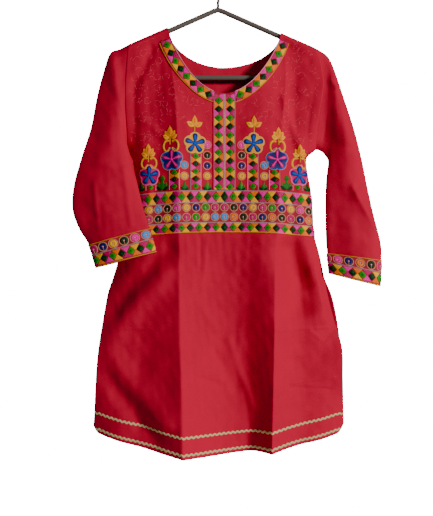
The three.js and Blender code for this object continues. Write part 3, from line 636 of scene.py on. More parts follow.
def neck_band(turn, across):
    """The neck border at an angle round the neck, from its inner edge (0) to its outer one (1)."""
    angle = lerp(NECK_FROM, NECK_TO, turn)
    cos, sin2 = np.cos(angle), np.sin(angle) ** 2
    point = np.where(cos > 0, NECK_L_X, NECK_R_X)
    inner_x = CENTRE_X - np.abs(cos) * np.sign(cos) * np.abs(CENTRE_X - point)
    inner_z = lerp(shoulder_z(point), NECK_FRONT_Z, sin2 ** NECK_FRONT_POWER)
    outer_x = CENTRE_X - BORDER_HALF_WIDTH * cos
    outer_z = lerp(BORDER_TOP_Z, BORDER_BOTTOM_Z, sin2 ** NECK_FRONT_POWER)
    return lerp(inner_x, outer_x, across), np.minimum(lerp(inner_z, outer_z, across), BORDER_TOP_Z)


def neck_ground(u, v):
    x, z = neck_band(u, v)
    return FRONT.at(x, z, np.full(x.shape, GROUND_TOP))


PLACKET_TOP = BORDER_BOTTOM_Z - 2


def placket_ground(u, v):
    x = CENTRE_X + (u * 2 - 1) * PLACKET_HALF_WIDTH
    z = lerp(belt_top_z(CENTRE_X) + SEAM_GAP, PLACKET_TOP, v)
    return FRONT.at(x, z, np.full(x.shape, GROUND_TOP))


def belt_ground(u, v):
    column = u * sum(FRONT.strips)
    x = FRONT.column_x(column, WAIST_Z + 40)
    z = lerp(waist_z(x) + SEAM_GAP, belt_top_z(x), v)
    x = np.clip(x, FRONT.side_x(0, z) + 0.6, FRONT.side_x(-1, z) - 0.6)
    return FRONT.at(x, z, np.full(x.shape, GROUND_TOP))


trim = dict(slot="border", wall=GROUND_TOP - TRIM_LIFT, outward=TO_FRONT)
grounds = {
    "neck_border": grid_piece("neck_ground", 120, 8, neck_ground, (400, 22), "neck_border", **trim),
    "placket": grid_piece("placket_ground", 18, 60, placket_ground, (42, 170), "placket", **trim),
    "waist_border": grid_piece("belt_ground", 136, 26, belt_ground, (380, 82), "waist_border", **trim),
}
for suffix, sleeve in SLEEVES.items():
    def cuff_ground(u, v, sleeve=sleeve):
        return sleeve.at(u * 2, lerp(CUFF_STATION, LAST_STATION, v), np.full(u.shape, GROUND_TOP))

    def from_cuff(centre, sleeve=sleeve):
        return Vector((0, -1 if centre.y / MM < smooth_at(sleeve.rows, 3, 10.5) else 1, 0))

    grounds["cuff_" + suffix] = grid_piece(
        "cuff_ground_" + suffix, 96, 14, cuff_ground, (220, 48), "cuff_" + suffix,
        slot="border", wall=GROUND_TOP - TRIM_LIFT, closed=True, outward=from_cuff)

# %% [markdown]
# ## Stitches
# All embroidery is made of two small forms, a domed patch of satin stitch and a raised line of cord.
# They are laid out flat, in millimetres, and then wrapped on to the cloth.

# %%
def linear(r, g, b, vivid=1.0):
    """A linear colour from its screen values. Vivid over 1 moves it away from grey."""
    screen = [c / 255 for c in (r, g, b)]
    rgb = [c / 12.92 if c <= 0.04045 else ((c + 0.055) / 1.055) ** 2.4 for c in screen]
    grey = 0.2126 * rgb[0] + 0.7152 * rgb[1] + 0.0722 * rgb[2]
    return tuple(min(1.0, max(0.0, grey + (c - grey) * vivid)) for c in rgb) + (1.0,)


THREAD = {name: linear(*rgb, 1.3) for name, rgb in {
    "pink": (255, 62, 158), "magenta": (186, 10, 98), "yellow": (255, 186, 18),
    "orange": (234, 126, 30), "green": (38, 140, 22), "dark_green": (4, 46, 22),
    "mid_green": (24, 105, 20), "deep_green": (10, 66, 28), "navy": (22, 24, 92),
    "royal": (42, 82, 170), "sky": (92, 150, 212), "gold": (215, 165, 66),
    "silver": (158, 146, 150), "pale": (240, 170, 180), "scroll": (232, 104, 118),
    "braid": (205, 192, 152), "cord": (208, 168, 140), "amber": (240, 164, 30),
}.items()}


class Stitches:
    def __init__(self):
        self.flat, self.heights, self.faces, self.colours, self.uvs = [], [], [], [], []
        self.count = 0

    def put(self, flat, heights, faces, colour, uv):
        self.flat.append(np.asarray(flat, float))
        self.heights.append(np.asarray(heights, float))
        self.faces += [[i + self.count for i in face] for face in faces]
        self.colours.append(np.tile(THREAD[colour], (len(flat), 1)))
        self.uvs.append(np.asarray(uv, float))
        self.count += len(flat)

    def patch(self, outline, colour, height=0.9, angle=0.0, lift=0.0):
        """A domed patch inside an outline, with its threads lying at an angle."""
        outline = np.asarray(outline, float)
        n, centre = len(outline), np.mean(outline, 0)
        reach = np.linalg.norm(outline - centre, axis=1).max()
        inner = max(1, int(round(reach / 3.2)))
        rings = [(1.0, -0.2)]
        rings += [(0.95 * (1 - k / (inner + 0.8)), 0.7 + 0.3 * k / inner) for k in range(inner + 1)]
        last = len(rings) - 1
        flat = [centre + (outline - centre) * scale for scale, _ in rings] + [centre[None]]
        heights = [np.full(n, lift + height * h) for _, h in rings] + [np.array([lift + height])]
        faces = [[r * n + i, r * n + (i + 1) % n, (r + 1) * n + (i + 1) % n, (r + 1) * n + i]
                 for r in range(last) for i in range(n)]
        faces += [[last * n + i, last * n + (i + 1) % n, (last + 1) * n] for i in range(n)]
        flat = np.concatenate(flat)
        turn = np.array([[math.cos(angle), -math.sin(angle)], [math.sin(angle), math.cos(angle)]])
        self.put(flat, np.concatenate(heights), faces, colour, flat @ turn)

    def line(self, path, width, colour, height=0.8, closed=False, lift=0.0):
        """A raised line along a path, with its threads across it."""
        path = np.asarray(path, float)
        n = len(path)
        if closed:
            along = np.roll(path, -1, 0) - np.roll(path, 1, 0)
        else:
            along = np.gradient(path, axis=0)
        along /= np.linalg.norm(along, axis=1, keepdims=True) + 1e-9
        across = np.stack([-along[:, 1], along[:, 0]], -1)
        steps = np.linalg.norm(np.diff(path, axis=0, prepend=path[:1]), axis=1).cumsum()
        profile = [(-0.5, -0.25), (-0.36, 0.7), (0.0, 1.0), (0.36, 0.7), (0.5, -0.25)]
        m = len(profile)
        flat = np.stack([path + across * width * o for o, _ in profile], 1).reshape(-1, 2)
        heights = np.tile([lift + height * h for _, h in profile], n)
        uv = np.stack([np.repeat(steps, m), np.tile([o * width for o, _ in profile], n)], -1)
        faces = [[i * m + k, i * m + k + 1, ((i + 1) % n) * m + k + 1, ((i + 1) % n) * m + k]
                 for i in range(n if closed else n - 1) for k in range(m - 1)]
        self.put(flat, heights, faces, colour, uv)

    def make(self, name, wrap):
        """One mesh of all the stitches, wrapped by wrap(flat, heights)."""
        points = wrap(np.concatenate(self.flat), np.concatenate(self.heights)) * MM
        mesh = bpy.data.meshes.new(name)
        mesh.from_pydata(points.tolist(), [], self.faces)
        mesh.update()
        colour = mesh.attributes.new("thread", "FLOAT_COLOR", "POINT")
        colour.data.foreach_set("color", np.concatenate(self.colours).ravel())
        uvs = np.concatenate(self.uvs)
        layer = mesh.uv_layers.new(name="stitch")
        corners = np.empty(len(mesh.loops), int)
        mesh.loops.foreach_get("vertex_index", corners)
        layer.data.foreach_set("uv", uvs[corners].ravel())
        mesh.shade_smooth()
        piece = in_scene(name, mesh)
        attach(piece, "root")
        print(name, len(self.faces), "faces")
        return piece


def wrap_front(flat, heights):
    return FRONT.at(flat[:, 0], flat[:, 1], heights)


def wrap_border(flat, heights):
    return FRONT.at(flat[:, 0], flat[:, 1], heights + GROUND_TOP)


def circle(radius, n=14):
    angles = np.arange(n) * 2 * math.pi / n
    return np.stack([np.cos(angles), np.sin(angles)], -1) * radius


def lozenge(half_length, half_width, n=5):
    """A diamond with slightly full sides."""
    angles = np.arange(4 * n) * 2 * math.pi / (4 * n)
    reach = 1 / (np.abs(np.cos(angles)) ** 1.25 + np.abs(np.sin(angles)) ** 1.25) ** (1 / 1.25)
    return np.stack([np.cos(angles) * reach * half_length, np.sin(angles) * reach * half_width], -1)


def polygon(*corners, n=3):
    corners = np.array(corners, float)
    last = len(corners)
    return np.concatenate([lerp(corners[k], corners[(k + 1) % last], np.arange(n)[:, None] / n)
                           for k in range(last)])


def leaf(length, width, bend=0.0, n=7):
    t = np.linspace(0, 1, n)
    half = width / 2 * np.sin(np.pi * t ** 0.85)
    mid = bend * np.sin(np.pi * t)
    upper = np.stack([t * length, mid + half], -1)
    lower = np.stack([t * length, mid - half], -1)
    return np.concatenate([upper, lower[-2:0:-1]])


def club(length, width, n=9):
    """A petal that is narrow at its root and round at its tip."""
    t = (1 - np.cos(np.linspace(0, math.pi, n))) / 2
    half = width / 2 * (0.28 + 0.72 * t ** 0.9) * np.sqrt(1 - np.clip((t - 0.62) / 0.38, 0, 1) ** 2)
    upper, lower = np.stack([t * length, half], -1), np.stack([t * length, -half], -1)
    return np.concatenate([upper, lower[-2::-1]])


def turned(outline, angle, place=(0, 0)):
    c, s = math.cos(angle), math.sin(angle)
    return np.asarray(outline) @ np.array([[c, s], [-s, c]]) + np.asarray(place)


WARM = [("yellow", "orange"), ("magenta", "pink"), ("orange", "yellow"), ("pink", "magenta")]


def diamond_row(stitches, place, count, pitch, height, first=0.5, leaf_at=None, ends=True):
    """Bow-ties that fill a band, with a raised diamond at each crossing.

    place turns (along, across) into the cloth's (x, z).
    """
    half, edge = pitch / 2, height / 2
    for k in range(-1 if ends else 0, count if ends else count - 1):
        middle = (first + k + 0.5) * pitch
        for sign, colour in zip((1, -1), WARM[k % 4]):
            shape = polygon((-half, sign * edge), (half, sign * edge), (half * 0.12, sign * 0.1),
                            (-half * 0.12, sign * 0.1), n=4)
            stitches.patch(place(shape + (middle, 0)), colour, 0.4, 0.7 * sign)
    for k in range(count):
        middle = (first + k) * pitch
        big = 1.45 if k == leaf_at else 1.0
        outer, inner = ("dark_green", "deep_green") if k % 2 else ("green", "mid_green")
        half_l, half_w = pitch * 0.39, min(height * 0.34, pitch * 0.42) * big
        stitches.patch(place(lozenge(half_l, half_w) + (middle, 0)), outer, 0.7, 0.8, lift=0.45)
        stitches.patch(place(lozenge(half_l * 0.4, half_w * 0.4) + (middle, 0)), inner, 0.3, 0.8, lift=1.0)


def circle_motif(stitches, place, along, across, radius, colour):
    put = lambda shape: place(np.asarray(shape) + (along, across))
    stitches.line(put(circle(radius * 0.94, 22)), 1.4, "cord", 0.8, closed=True)
    stitches.line(put(circle(radius * 0.49, 18)), radius * 0.62, colour, 0.95, closed=True)
    stitches.patch(put(circle(radius * 0.17, 8)), "pale", 0.8, lift=0.2)
    spoke = [(0, -radius * share) for share in (0.15, 0.5, 0.8)]
    stitches.line(put(spoke), 0.8, "cord", 0.5, lift=0.7)


print("thread colours", len(THREAD))

# %% [markdown]
# ## Waist border, placket and neck border

# %%
ROW_1 = ["pink", "yellow", "sky", "dark_green", "pink", "yellow", "navy", "green", "magenta", "magenta",
         "dark_green", "navy", "yellow", "magenta", "green", "navy", "yellow", "pink", "dark_green"]
ROW_2 = ["navy", "magenta", "dark_green", "yellow", "sky", "magenta", "green", "yellow", "sky", "sky",
         "orange", "dark_green", "magenta", "navy", "orange", "dark_green", "magenta", "navy", "orange"]


def belt_place(down):
    def place(points):
        z = belt_top_z(points[:, 0]) - down + points[:, 1]
        x = np.clip(points[:, 0], FRONT.side_x(0, z) + 1.2, FRONT.side_x(-1, z) - 1.2)
        return np.stack([x, z], -1)
    return place


DIAMOND_PITCH = 16.6
CIRCLE_PITCH = 18.4
belt = Stitches()
for down, height in ((12.3, 22.0), (72.2, 18.0)):
    place = belt_place(down)
    row = lambda points, place=place: place(points + (CENTRE_X - 11.5 * DIAMOND_PITCH, 0))
    diamond_row(belt, row, 23, DIAMOND_PITCH, height, leaf_at=11)
for down, colours in ((33.2, ROW_1), (51.8, ROW_2)):
    for k in range(len(colours)):
        along = CENTRE_X + (k - 9) * CIRCLE_PITCH
        circle_motif(belt, belt_place(down), along, 0, 8.3, colours[k])
for down, colour in ((0.8, "silver"), (23.8, "silver"), (62.6, "silver"), (81.2, "gold")):
    x = np.linspace(-166, 184, 120)
    z = belt_top_z(x) - down
    x = np.clip(x, FRONT.side_x(0, z) + 1.5, FRONT.side_x(-1, z) - 1.5)
    belt.line(np.stack([x, z], -1), 1.7, colour, 0.9)
belt_threads = belt.make("belt_threads", wrap_border)

PATTERN_TOP = NECK_FRONT_Z - 2.5
placket = Stitches()
for side in (-1, 1):
    place = lambda points, side=side: np.stack(
        [CENTRE_X + side * 11.2 + points[:, 1],
         np.clip(PATTERN_TOP - points[:, 0], belt_top_z(CENTRE_X) + 1, PATTERN_TOP)], -1)
    diamond_row(placket, place, 11, 17.0, 17.8, first=0.75)
    down = np.linspace(PATTERN_TOP, belt_top_z(CENTRE_X) + 1, 90)
    for offset, colour in ((20.7, "silver"), (1.8, "cord")):
        placket.line(np.stack([np.full(90, CENTRE_X + side * offset), down], -1), 1.3, colour, 0.9)
down = np.linspace(PATTERN_TOP, belt_top_z(CENTRE_X) + 1, 200)
for phase in (0, math.pi):
    sway = 0.6 * np.sin(down * 2 * math.pi / 4.5 + phase)
    placket.line(np.stack([CENTRE_X + sway, down], -1), 0.9, "pale", 1.4)
placket_threads = placket.make("placket_threads", wrap_border)

turns = np.linspace(0, 1, 400)
mid_x, mid_z = neck_band(turns, 0.5)
neck_length = np.concatenate([[0], np.hypot(np.diff(mid_x), np.diff(mid_z)).cumsum()])


def neck_place(points):
    turn = np.interp(points[:, 0], neck_length, turns)
    x0, z0 = neck_band(turn, 0.5)
    x1, z1 = neck_band(np.minimum(turn + 0.002, 1), 0.5)
    x2, z2 = neck_band(np.maximum(turn - 0.002, 0), 0.5)
    along = np.stack([x1 - x2, z1 - z2], -1)
    along /= np.linalg.norm(along, axis=1, keepdims=True)
    across = np.stack([-along[:, 1], along[:, 0]], -1)
    return np.stack([x0, z0], -1) + across * points[:, 1:2]


# The two arms of the neck border end at the placket, so each has a row of its own.
neck = Stitches()
left_end = np.interp(CENTRE_X - 22, mid_x, neck_length)
right_start = np.interp(CENTRE_X + 22, mid_x, neck_length)
whole = neck_length[mid_z < BORDER_TOP_Z - 1]
for start, end in ((whole[0], left_end), (right_start, whole[-1])):
    count = int(round((end - start) / 19))
    pitch = (end - start) / count
    arm = lambda points, start=start, end=end: neck_place(
        np.stack([np.clip(points[:, 0] + start, start, end), points[:, 1]], -1))
    diamond_row(neck, arm, count, pitch, 18.5)
for across, colour in ((0.03, "pale"), (0.97, "gold")):
    x, z = neck_band(np.linspace(0, 1, 200), across)
    for part in (x < CENTRE_X - 21, x > CENTRE_X + 21):
        part = part & (z < BORDER_TOP_Z - 0.2)
        neck.line(np.stack([x, z], -1)[part], 1.4, colour, 0.9)
neck_threads = neck.make("neck_threads", wrap_border)

# %% [markdown]
# ## Cuffs
# The pattern runs round the sleeve by arc length, circles above and diamonds below.

# %%
CUFF_COLOURS = {
    "l": ["magenta", "navy", "yellow", "dark_green", "pink", "sky"],
    "r": ["magenta", "dark_green", "orange", "navy", "pink"],
}
cuff_threads = {}
for suffix, sleeve in SLEEVES.items():
    ring = np.linspace(0, 2, 400)
    loop = sleeve.surface(ring, np.full(400, 10.5))
    length = np.concatenate([[0], np.linalg.norm(np.diff(loop, axis=0), axis=1).cumsum()])
    top = sleeve.surface(ring, np.full(400, 10.0))
    tall = float(np.mean(np.linalg.norm(sleeve.surface(ring, np.full(400, 11.0)) - top, axis=1)))

    def wrap_cuff(flat, heights, sleeve=sleeve, length=length, tall=tall, ring=ring):
        v = np.interp(np.mod(flat[:, 0], length[-1]), length, ring)
        station = np.clip(CUFF_STATION - flat[:, 1] / tall, CUFF_STATION + 0.01, LAST_STATION - 0.01)
        return sleeve.at(v, station, heights + GROUND_TOP)

    cuff = Stitches()
    total = length[-1]
    circles, diamonds = int(round(total / 21)), 2 * int(round(total / 38))
    colours = CUFF_COLOURS[suffix]
    for k in range(circles):
        circle_motif(cuff, lambda points: points, (k + 0.5) * total / circles, -tall * 0.27,
                     tall * 0.2, colours[k % len(colours)])
    row = lambda points, tall=tall: points + (0, -tall * 0.72)
    diamond_row(cuff, row, diamonds, total / diamonds, tall * 0.4)
    for down, colour in ((0.03, "gold"), (0.49, "silver"), (0.97, "gold")):
        along = np.linspace(0, total, 150, endpoint=False)
        cuff.line(np.stack([along, np.full(150, -tall * down)], -1), 1.6, colour, 0.9)
    cuff_threads[suffix] = cuff.make("cuff_threads_" + suffix, wrap_cuff)

# %% [markdown]
# ## Flowers, columns and scrolls on the bodice

# %%
def flower(stitches, x, z, radius, star, disc, rim, petal, vein):
    """A lobed disc with a corded rim and a star of five two-tone petals."""
    angles = np.linspace(0, 2 * math.pi, 60, endpoint=False)
    lobes = radius * (0.84 + 0.2 * np.abs(np.cos(2.5 * (angles - math.pi / 2))) ** 0.8)
    ring = np.stack([np.cos(angles) * lobes, np.sin(angles) * lobes], -1)
    stitches.patch(ring + (x, z), disc, 0.6)
    stitches.line(ring * 0.93 + (x, z), radius * 0.14, rim, 0.85, closed=True)
    stitches.line(ring + (x, z), 1.1, "cord", 0.8, closed=True)
    for k in range(5):
        angle = math.pi / 2 + k * 2 * math.pi / 5
        start = (x + math.cos(angle) * radius * 0.06, z + math.sin(angle) * radius * 0.06)
        outer = turned(club(radius * 0.9, radius * star), angle, start)
        inner = turned(club(radius * 0.74, radius * star * 0.5), angle, start)
        stitches.patch(outer, petal, 0.75, angle, lift=0.5)
        stitches.patch(inner, vein, 0.4, angle, lift=1.1)
    stitches.patch(circle(radius * 0.14, 10) + (x, z), vein, 0.9, lift=0.7)


def bud(stitches, x, z, length, sides):
    """An upright leaf with smaller ones at its sides, on a short stem."""
    stitches.line([(x, z + 2), (x, z - 5), (x, z - 12)], 2.2, "gold", 0.8)
    for angle, share in sides[::-1] + ((0.0, 1.0),):
        for way in ((1,) if angle == 0 else (-1, 1)):
            lean = math.pi / 2 - way * angle
            size = length * share
            start = (x + math.cos(lean) * 1.2, z + math.sin(lean) * 1.2)
            lift = 0.5 if angle == 0 else 0.0
            colours = ("amber", "yellow") if way > 0 else ("yellow", "amber")
            stitches.patch(turned(leaf(size, length * 0.48), lean, start), colours[0], 0.8, lean, lift)
            inner = (start[0] + math.cos(lean) * size * 0.2, start[1] + math.sin(lean) * size * 0.2)
            heart = turned(leaf(size * 0.55, size * 0.16), lean, inner)
            stitches.patch(heart, "orange", 0.4, lean, lift + 0.7)


def curl(stitches, x, z, side, tall):
    """A ram's horn over a flower, from its middle out, down and back in."""
    t = np.linspace(0, 1, 30)
    angle = np.radians(lerp(125, -165, t))
    wide = lerp(8.0, 4.4, t ** 2)
    high = lerp(tall, tall * 0.55, t ** 2)
    path = np.stack([x + side * (7.4 + np.cos(angle) * wide), z + np.sin(angle) * high], -1)
    stitches.line(path, 4.4, "gold", 0.9)
    stitches.line(path, 1.5, "yellow", 0.5, lift=0.7)


def plant(stitches, x, foot, height, colour, head):
    """A small upright plant on dark leaves, ending in a point or a round head."""
    for lean, size, name in ((1.05, 0.56, "dark_green"), (-1.05, 0.56, "dark_green"),
                             (0.5, 0.66, "mid_green"), (-0.5, 0.66, "mid_green")):
        shape = turned(leaf(height * size, height * 0.3), math.pi / 2 + lean, (x, foot))
        stitches.patch(shape, name, 0.7, lean)
    tall = 0.86 if head else 1.0
    stem = turned(leaf(height * tall, height * 0.27), math.pi / 2, (x, foot))
    stitches.patch(stem, colour, 0.8, lift=0.2)
    if head:
        stitches.patch(circle(height * 0.19, 10) + (x, foot + height * 0.82), colour, 0.9, lift=0.1)


# Offset from the middle, height, radius, petal width; disc, rim, petal and vein colours.
FLOWERS = [
    (57, -341, 21.0, 0.62, "amber", "yellow", "navy", "royal"),
    (102.5, -373, 21.5, 0.4, "navy", "royal", "magenta", "pink"),
    (147, -402.5, 20.0, 0.62, "magenta", "pink", "navy", "royal"),
]
flowers = Stitches()
plain_wrap = lambda points: points
for side in (-1, 1):
    at = lambda offset: CENTRE_X + side * offset
    foot = belt_top_z(at(100)) + 2.5
    for (offset, z, radius, star, *colours), middle in zip(FLOWERS, (55.5, 97, 144)):
        start = z - radius * 0.85
        for edge, colour in ((middle - 10, "pale"), (middle + 10, "silver")):
            column = np.linspace(start - 2, foot, 24)
            flowers.line(np.stack([np.full(24, at(edge)), column], -1), 1.3, colour, 0.8)
        count = max(1, int(round((start - foot) / 15.4)))
        pitch = (start - foot) / count
        place = lambda points, middle=middle, start=start, foot=foot: np.stack(
            [at(middle) + points[:, 1], np.maximum(start - points[:, 0], foot - 0.5)], -1)
        diamond_row(flowers, place, count, pitch, 20, ends=False)
        flower(flowers, at(offset), z, radius, star, *colours)
    bud(flowers, at(58), -308.5, 22, ((1.0, 0.78),))
    bud(flowers, at(106), -331, 23, ((0.6, 0.72), (1.2, 0.62)))
    bud(flowers, at(149), -364, 23, ((0.6, 0.72), (1.2, 0.62)))
    for x, z, tall in ((104, -347.5, 12), (148, -379.5, 11.5)):
        for way in (-1, 1):
            curl(flowers, at(x), z, way, tall)
    for offset, z, colour in ((33.6, -343, "pink"), (33.6, -363, "dark_green"), (33.6, -383.5, "navy"),
                              (33.6, -404, "yellow"), (77.5, -384, "sky"), (77.5, -405, "yellow")):
        circle_motif(flowers, plain_wrap, at(offset), z, 8.1, colour)
    for offset, height, colour, head in ((33, 20, "green", False), (76.5, 18, "mid_green", False),
                                         (121, 28, "mid_green", True), (164, 19, "dark_green", False)):
        plant(flowers, at(offset), foot, height, colour, head)
flower_threads = flowers.make("flower_threads", wrap_front)

# Loose broken scrolls of fine thread over the plain parts of the bodice.
def on_plain_bodice(x, z, reach=7):
    band = lerp(BORDER_TOP_Z, BORDER_BOTTOM_Z, clamp01(
        1 - ((x - CENTRE_X) / BORDER_HALF_WIDTH) ** 2) ** NECK_FRONT_POWER)
    offset = np.abs(x - CENTRE_X)
    top_of_motifs = np.interp(
        offset, [30, 57, 80, 104, 128, 149, 180], [-335, -278, -330, -300, -362, -336, -395])
    fine = (x > FRONT.side_x(0, z) + reach) & (x < FRONT.side_x(-1, z) - reach)
    fine &= z < shoulder_z(x) - reach
    fine &= ~((offset < BORDER_HALF_WIDTH + reach) & (z > band - reach))
    return fine & (offset > PLACKET_HALF_WIDTH + reach) & (z > top_of_motifs)


scrolls = Stitches()
for x0 in np.arange(-178, 206, 19):
    for z0 in np.arange(-112, -400, -19):
        steps = 34
        heading = rng.uniform(0, 2 * math.pi)
        turning = rng.normal(0, 0.06, steps)
        heading = heading + np.cumsum(turning + rng.choice([-1, 1]) * 0.14)
        x = x0 + rng.uniform(-6, 6) + np.cumsum(np.cos(heading)) * 0.95
        z = z0 + rng.uniform(-6, 6) + np.cumsum(np.sin(heading)) * 0.95
        start = 0
        while start < steps - 5:
            dash = int(rng.integers(5, 13))
            part = slice(start, min(start + dash, steps))
            if np.all(on_plain_bodice(x[part], z[part])):
                scrolls.line(np.stack([x[part], z[part]], -1), 0.42, "scroll", 0.2)
            start += dash + int(rng.integers(1, 5))
scroll_threads = scrolls.make("scroll_threads", wrap_front)

# %% [markdown]
# ## Zigzag braid above the hem

# %%
braids = {}
for face, panel in (("front", FRONT), ("back", BACK)):
    for row, rise, reach in (("upper", 40, 262), ("lower", 8.5, 243)):
        x = np.arange(-reach, reach, 1.1)
        wave = 1.25 * np.sin(x * math.pi / 4.4)
        z = hem_z(np.minimum(np.abs(x), HEM_CORNER["start"])) + rise + wave
        inside = (x > panel.side_x(0, z) + 2) & (x < panel.side_x(-1, z) - 2)
        zigzag = Stitches()
        zigzag.line(np.stack([x, z], -1)[inside], 3.7, "braid", 0.8)
        wrap = lambda flat, heights, panel=panel: panel.at(flat[:, 0], flat[:, 1], heights + 0.35)
        piece = zigzag.make(f"zigzag_{face}_{row}", wrap)
        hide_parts(f"braid_{face}_{row}")
        braids[face, row] = piece

# %% [markdown]
# ## Hanger
# The tube is bent in one plane, and the hook is a thinner wire in its top.

# %%
def tube(name, path, radius, closed, sides=20):
    path = np.asarray(path, float)
    n = len(path)
    along = (np.roll(path, -1, 0) - np.roll(path, 1, 0)) if closed else np.gradient(path, axis=0)
    along /= np.linalg.norm(along, axis=1, keepdims=True)
    angles = np.arange(sides) * 2 * math.pi / sides
    out = radius * np.cos(angles)
    x = path[:, 0:1] - along[:, 1:2] * out
    z = path[:, 1:2] + along[:, 0:1] * out
    y = np.broadcast_to(radius * np.sin(angles), x.shape)
    points = np.stack([x, y, z], -1).reshape(-1, 3) * MM
    faces = [[i * sides + k, ((i + 1) % n) * sides + k, ((i + 1) % n) * sides + (k + 1) % sides,
              i * sides + (k + 1) % sides] for i in range(n if closed else n - 1) for k in range(sides)]
    if not closed:
        faces += [list(range(sides)), list(range((n - 1) * sides, n * sides))]
    mesh = bpy.data.meshes.new(name)
    mesh.from_pydata(points.tolist(), [], faces)
    bm = bmesh.new()
    bm.from_mesh(mesh)
    bmesh.ops.recalc_face_normals(bm, faces=bm.faces)
    bm.to_mesh(mesh)
    bm.free()
    mesh.shade_smooth()
    piece = in_scene(name, mesh)
    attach(piece, "root")
    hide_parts("hanger")
    return piece


ARM_DROP = 8
BAR_Z = -204
TUBE_RADIUS = 5
WIRE_RADIUS = 3
END_RADIUS = 30.2
END_X = 167.8
HOOK_RADIUS = 19
HOOK_Z = -16


def arm_z(x):
    return shoulder_z(x) - ARM_DROP


arm_angle = math.atan(SHOULDER_SLOPE)
corner = np.linspace(math.pi / 2 - arm_angle, -math.pi / 2, 22)
half = [(x, arm_z(x)) for x in (8, 20, 60, 100, 140)]
half += [(END_X + END_RADIUS * math.cos(a), BAR_Z + END_RADIUS + END_RADIUS * math.sin(a))
         for a in corner]
half += [(120, BAR_Z), (60, BAR_Z)]
loop = [(0, arm_z(2))] + half + [(0, BAR_Z)] + [(-x, z) for x, z in reversed(half)]
hanger_tube = tube("hanger_tube", loop, TUBE_RADIUS, True)
bend = np.radians(np.linspace(-50, 205, 44))
hook = [(0, arm_z(0)), (0, -60), (0, -54), (1.5, -45), (6, -36)]
hook += [(HOOK_RADIUS * math.cos(a), HOOK_Z + HOOK_RADIUS * math.sin(a)) for a in bend]
hanger_hook = tube("hanger_hook", hook, WIRE_RADIUS, False)
print("hanger made")

# %% [markdown]
# ## Materials

# %%
def add(nodes, kind, values=(), **settings):
    """A node of a kind, with values for its inputs and its settings."""
    node = nodes.new("ShaderNode" + kind)
    for key, value in settings.items():
        setattr(node, key, value)
    for key, value in dict(values).items():
        node.inputs[key].default_value = value
    return node


def material(name, colour, roughness, sheen=0.0):
    made = bpy.data.materials.new(name)
    made.use_nodes = True
    shader = made.node_tree.nodes["Principled BSDF"]
    for key, value in (("Base Color", colour), ("Roughness", roughness), ("Sheen Weight", sheen),
                       ("Sheen Roughness", 0.5), ("Sheen Tint", colour), ("Specular IOR Level", 0.25)):
        shader.inputs[key].default_value = value
    return made, made.node_tree.nodes, made.node_tree.links, shader


def mottle(nodes, links, shader, colour, amount, scale):
    """Slow colour variation, as in piece-dyed cloth."""
    low = tuple(c * (1 - amount) for c in colour[:3]) + (1,)
    high = tuple(min(1, c * (1 + amount)) for c in colour[:3]) + (1,)
    place = add(nodes, "TexCoord")
    noise = add(nodes, "TexNoise", {"Scale": scale, "Detail": 5})
    ramp = add(nodes, "Mix", data_type="RGBA")
    ramp.inputs[6].default_value = low
    ramp.inputs[7].default_value = high
    links.new(place.outputs["Object"], noise.inputs["Vector"])
    links.new(noise.outputs["Fac"], ramp.inputs[0])
    links.new(ramp.outputs[2], shader.inputs["Base Color"])


def raise_by(nodes, links, shader, height, strength, distance):
    bump = add(nodes, "Bump", {"Strength": strength, "Distance": distance})
    links.new(height, bump.inputs["Height"])
    links.new(bump.outputs["Normal"], shader.inputs["Normal"])


def weave(nodes, links, shader, scale, strength, distance):
    """Plain weave: two sets of fine ribs at right angles, on the cloth's own UV."""
    place = add(nodes, "UVMap", uv_map="cloth")
    product = add(nodes, "Math", operation="MULTIPLY")
    for k, direction in enumerate("XY"):
        wave = add(nodes, "TexWave", {"Scale": scale, "Distortion": 0.6}, bands_direction=direction)
        links.new(place.outputs["UV"], wave.inputs["Vector"])
        links.new(wave.outputs["Fac"], product.inputs[k])
    raise_by(nodes, links, shader, product.outputs[0], strength, distance)


red = (0.46, 0.0005, 0.028, 1.0)
cotton, nodes, links, shader = material("cotton", red, 0.85, 0.1)
mottle(nodes, links, shader, red, 0.10, 9)
weave(nodes, links, shader, 4.5, 0.25, 0.0004)

ground_red = (0.36, 0.012, 0.03, 1.0)
ground, nodes, links, shader = material("border_ground", ground_red, 0.8, 0.1)
mottle(nodes, links, shader, ground_red, 0.16, 60)
weave(nodes, links, shader, 3.2, 0.5, 0.0006)


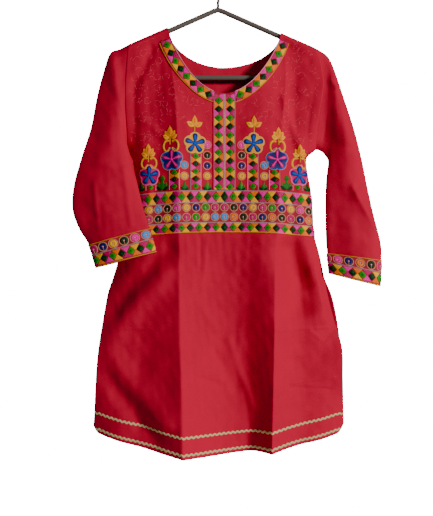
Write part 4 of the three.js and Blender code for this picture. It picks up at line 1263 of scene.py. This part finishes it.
def thread_material(name, roughness, ribs, strength):
    """Satin stitch: the mesh's own thread colour, with fine ribs across the stitches and painted shade in
    the grooves between them.
    """
    made, nodes, links, shader = material(name, (1, 1, 1, 1), roughness, 0.04)
    colour = add(nodes, "Attribute", attribute_name="thread")
    place = add(nodes, "UVMap", uv_map="stitch")
    wave = add(nodes, "TexWave", {"Scale": ribs, "Distortion": 1.0}, bands_direction="X")
    # Painted shade: the thread colour is darkened by up to 35 percent where the ribs are low, in the
    # grooves between stitches.
    painted_groove_shade = add(nodes, "Mix", {0: 0.35}, data_type="RGBA", blend_type="MULTIPLY")
    links.new(place.outputs["UV"], wave.inputs["Vector"])
    links.new(colour.outputs["Color"], painted_groove_shade.inputs[6])
    links.new(wave.outputs["Color"], painted_groove_shade.inputs[7])
    links.new(painted_groove_shade.outputs[2], shader.inputs["Base Color"])
    raise_by(nodes, links, shader, wave.outputs["Fac"], strength, 0.0003)
    return made


satin = thread_material("satin_thread", 0.48, 0.55, 0.5)
braid_thread = thread_material("braid_thread", 0.75, 0.3, 0.6)

dark = linear(95, 85, 78)
plastic, nodes, links, shader = material("hanger_plastic", dark, 0.42)
mottle(nodes, links, shader, dark, 0.06, 30)

pale = linear(250, 249, 246)
floor_finish, nodes, links, shader = material("floor", pale, 0.7)
mottle(nodes, links, shader, pale, 0.01, 2)

finishes = [(cloth.values(), cotton), (grounds.values(), ground), (braids.values(), braid_thread),
            ([hanger_tube, hanger_hook], plastic),
            ([belt_threads, placket_threads, neck_threads, flower_threads, scroll_threads,
              *cuff_threads.values()], satin)]
for pieces, finish in finishes:
    for piece in pieces:
        piece.data.materials.append(finish)
print("materials", len(finishes))

# %% [markdown]
# ## Floor
# A plain pale disc under the garment.

# %%
bm = bmesh.new()
bmesh.ops.create_circle(bm, cap_ends=True, segments=96, radius=0.62)
floor_mesh = bpy.data.meshes.new("floor")
bm.to_mesh(floor_mesh)
bm.free()
floor = in_scene("floor", floor_mesh)
floor.location = (0, 0, -1.35)
floor_mesh.materials.append(floor_finish)
floor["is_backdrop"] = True

# %% [markdown]
# ## Bounds
# The box of the imported CAD model and the box of all that is shown except the floor, as lists of corners.

visual_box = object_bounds()
as_lists = lambda box: [[float(c) for c in corner] for corner in box]
{"cad": as_lists(cad_box), "visual": as_lists(visual_box)}
print("visual box", visual_box)
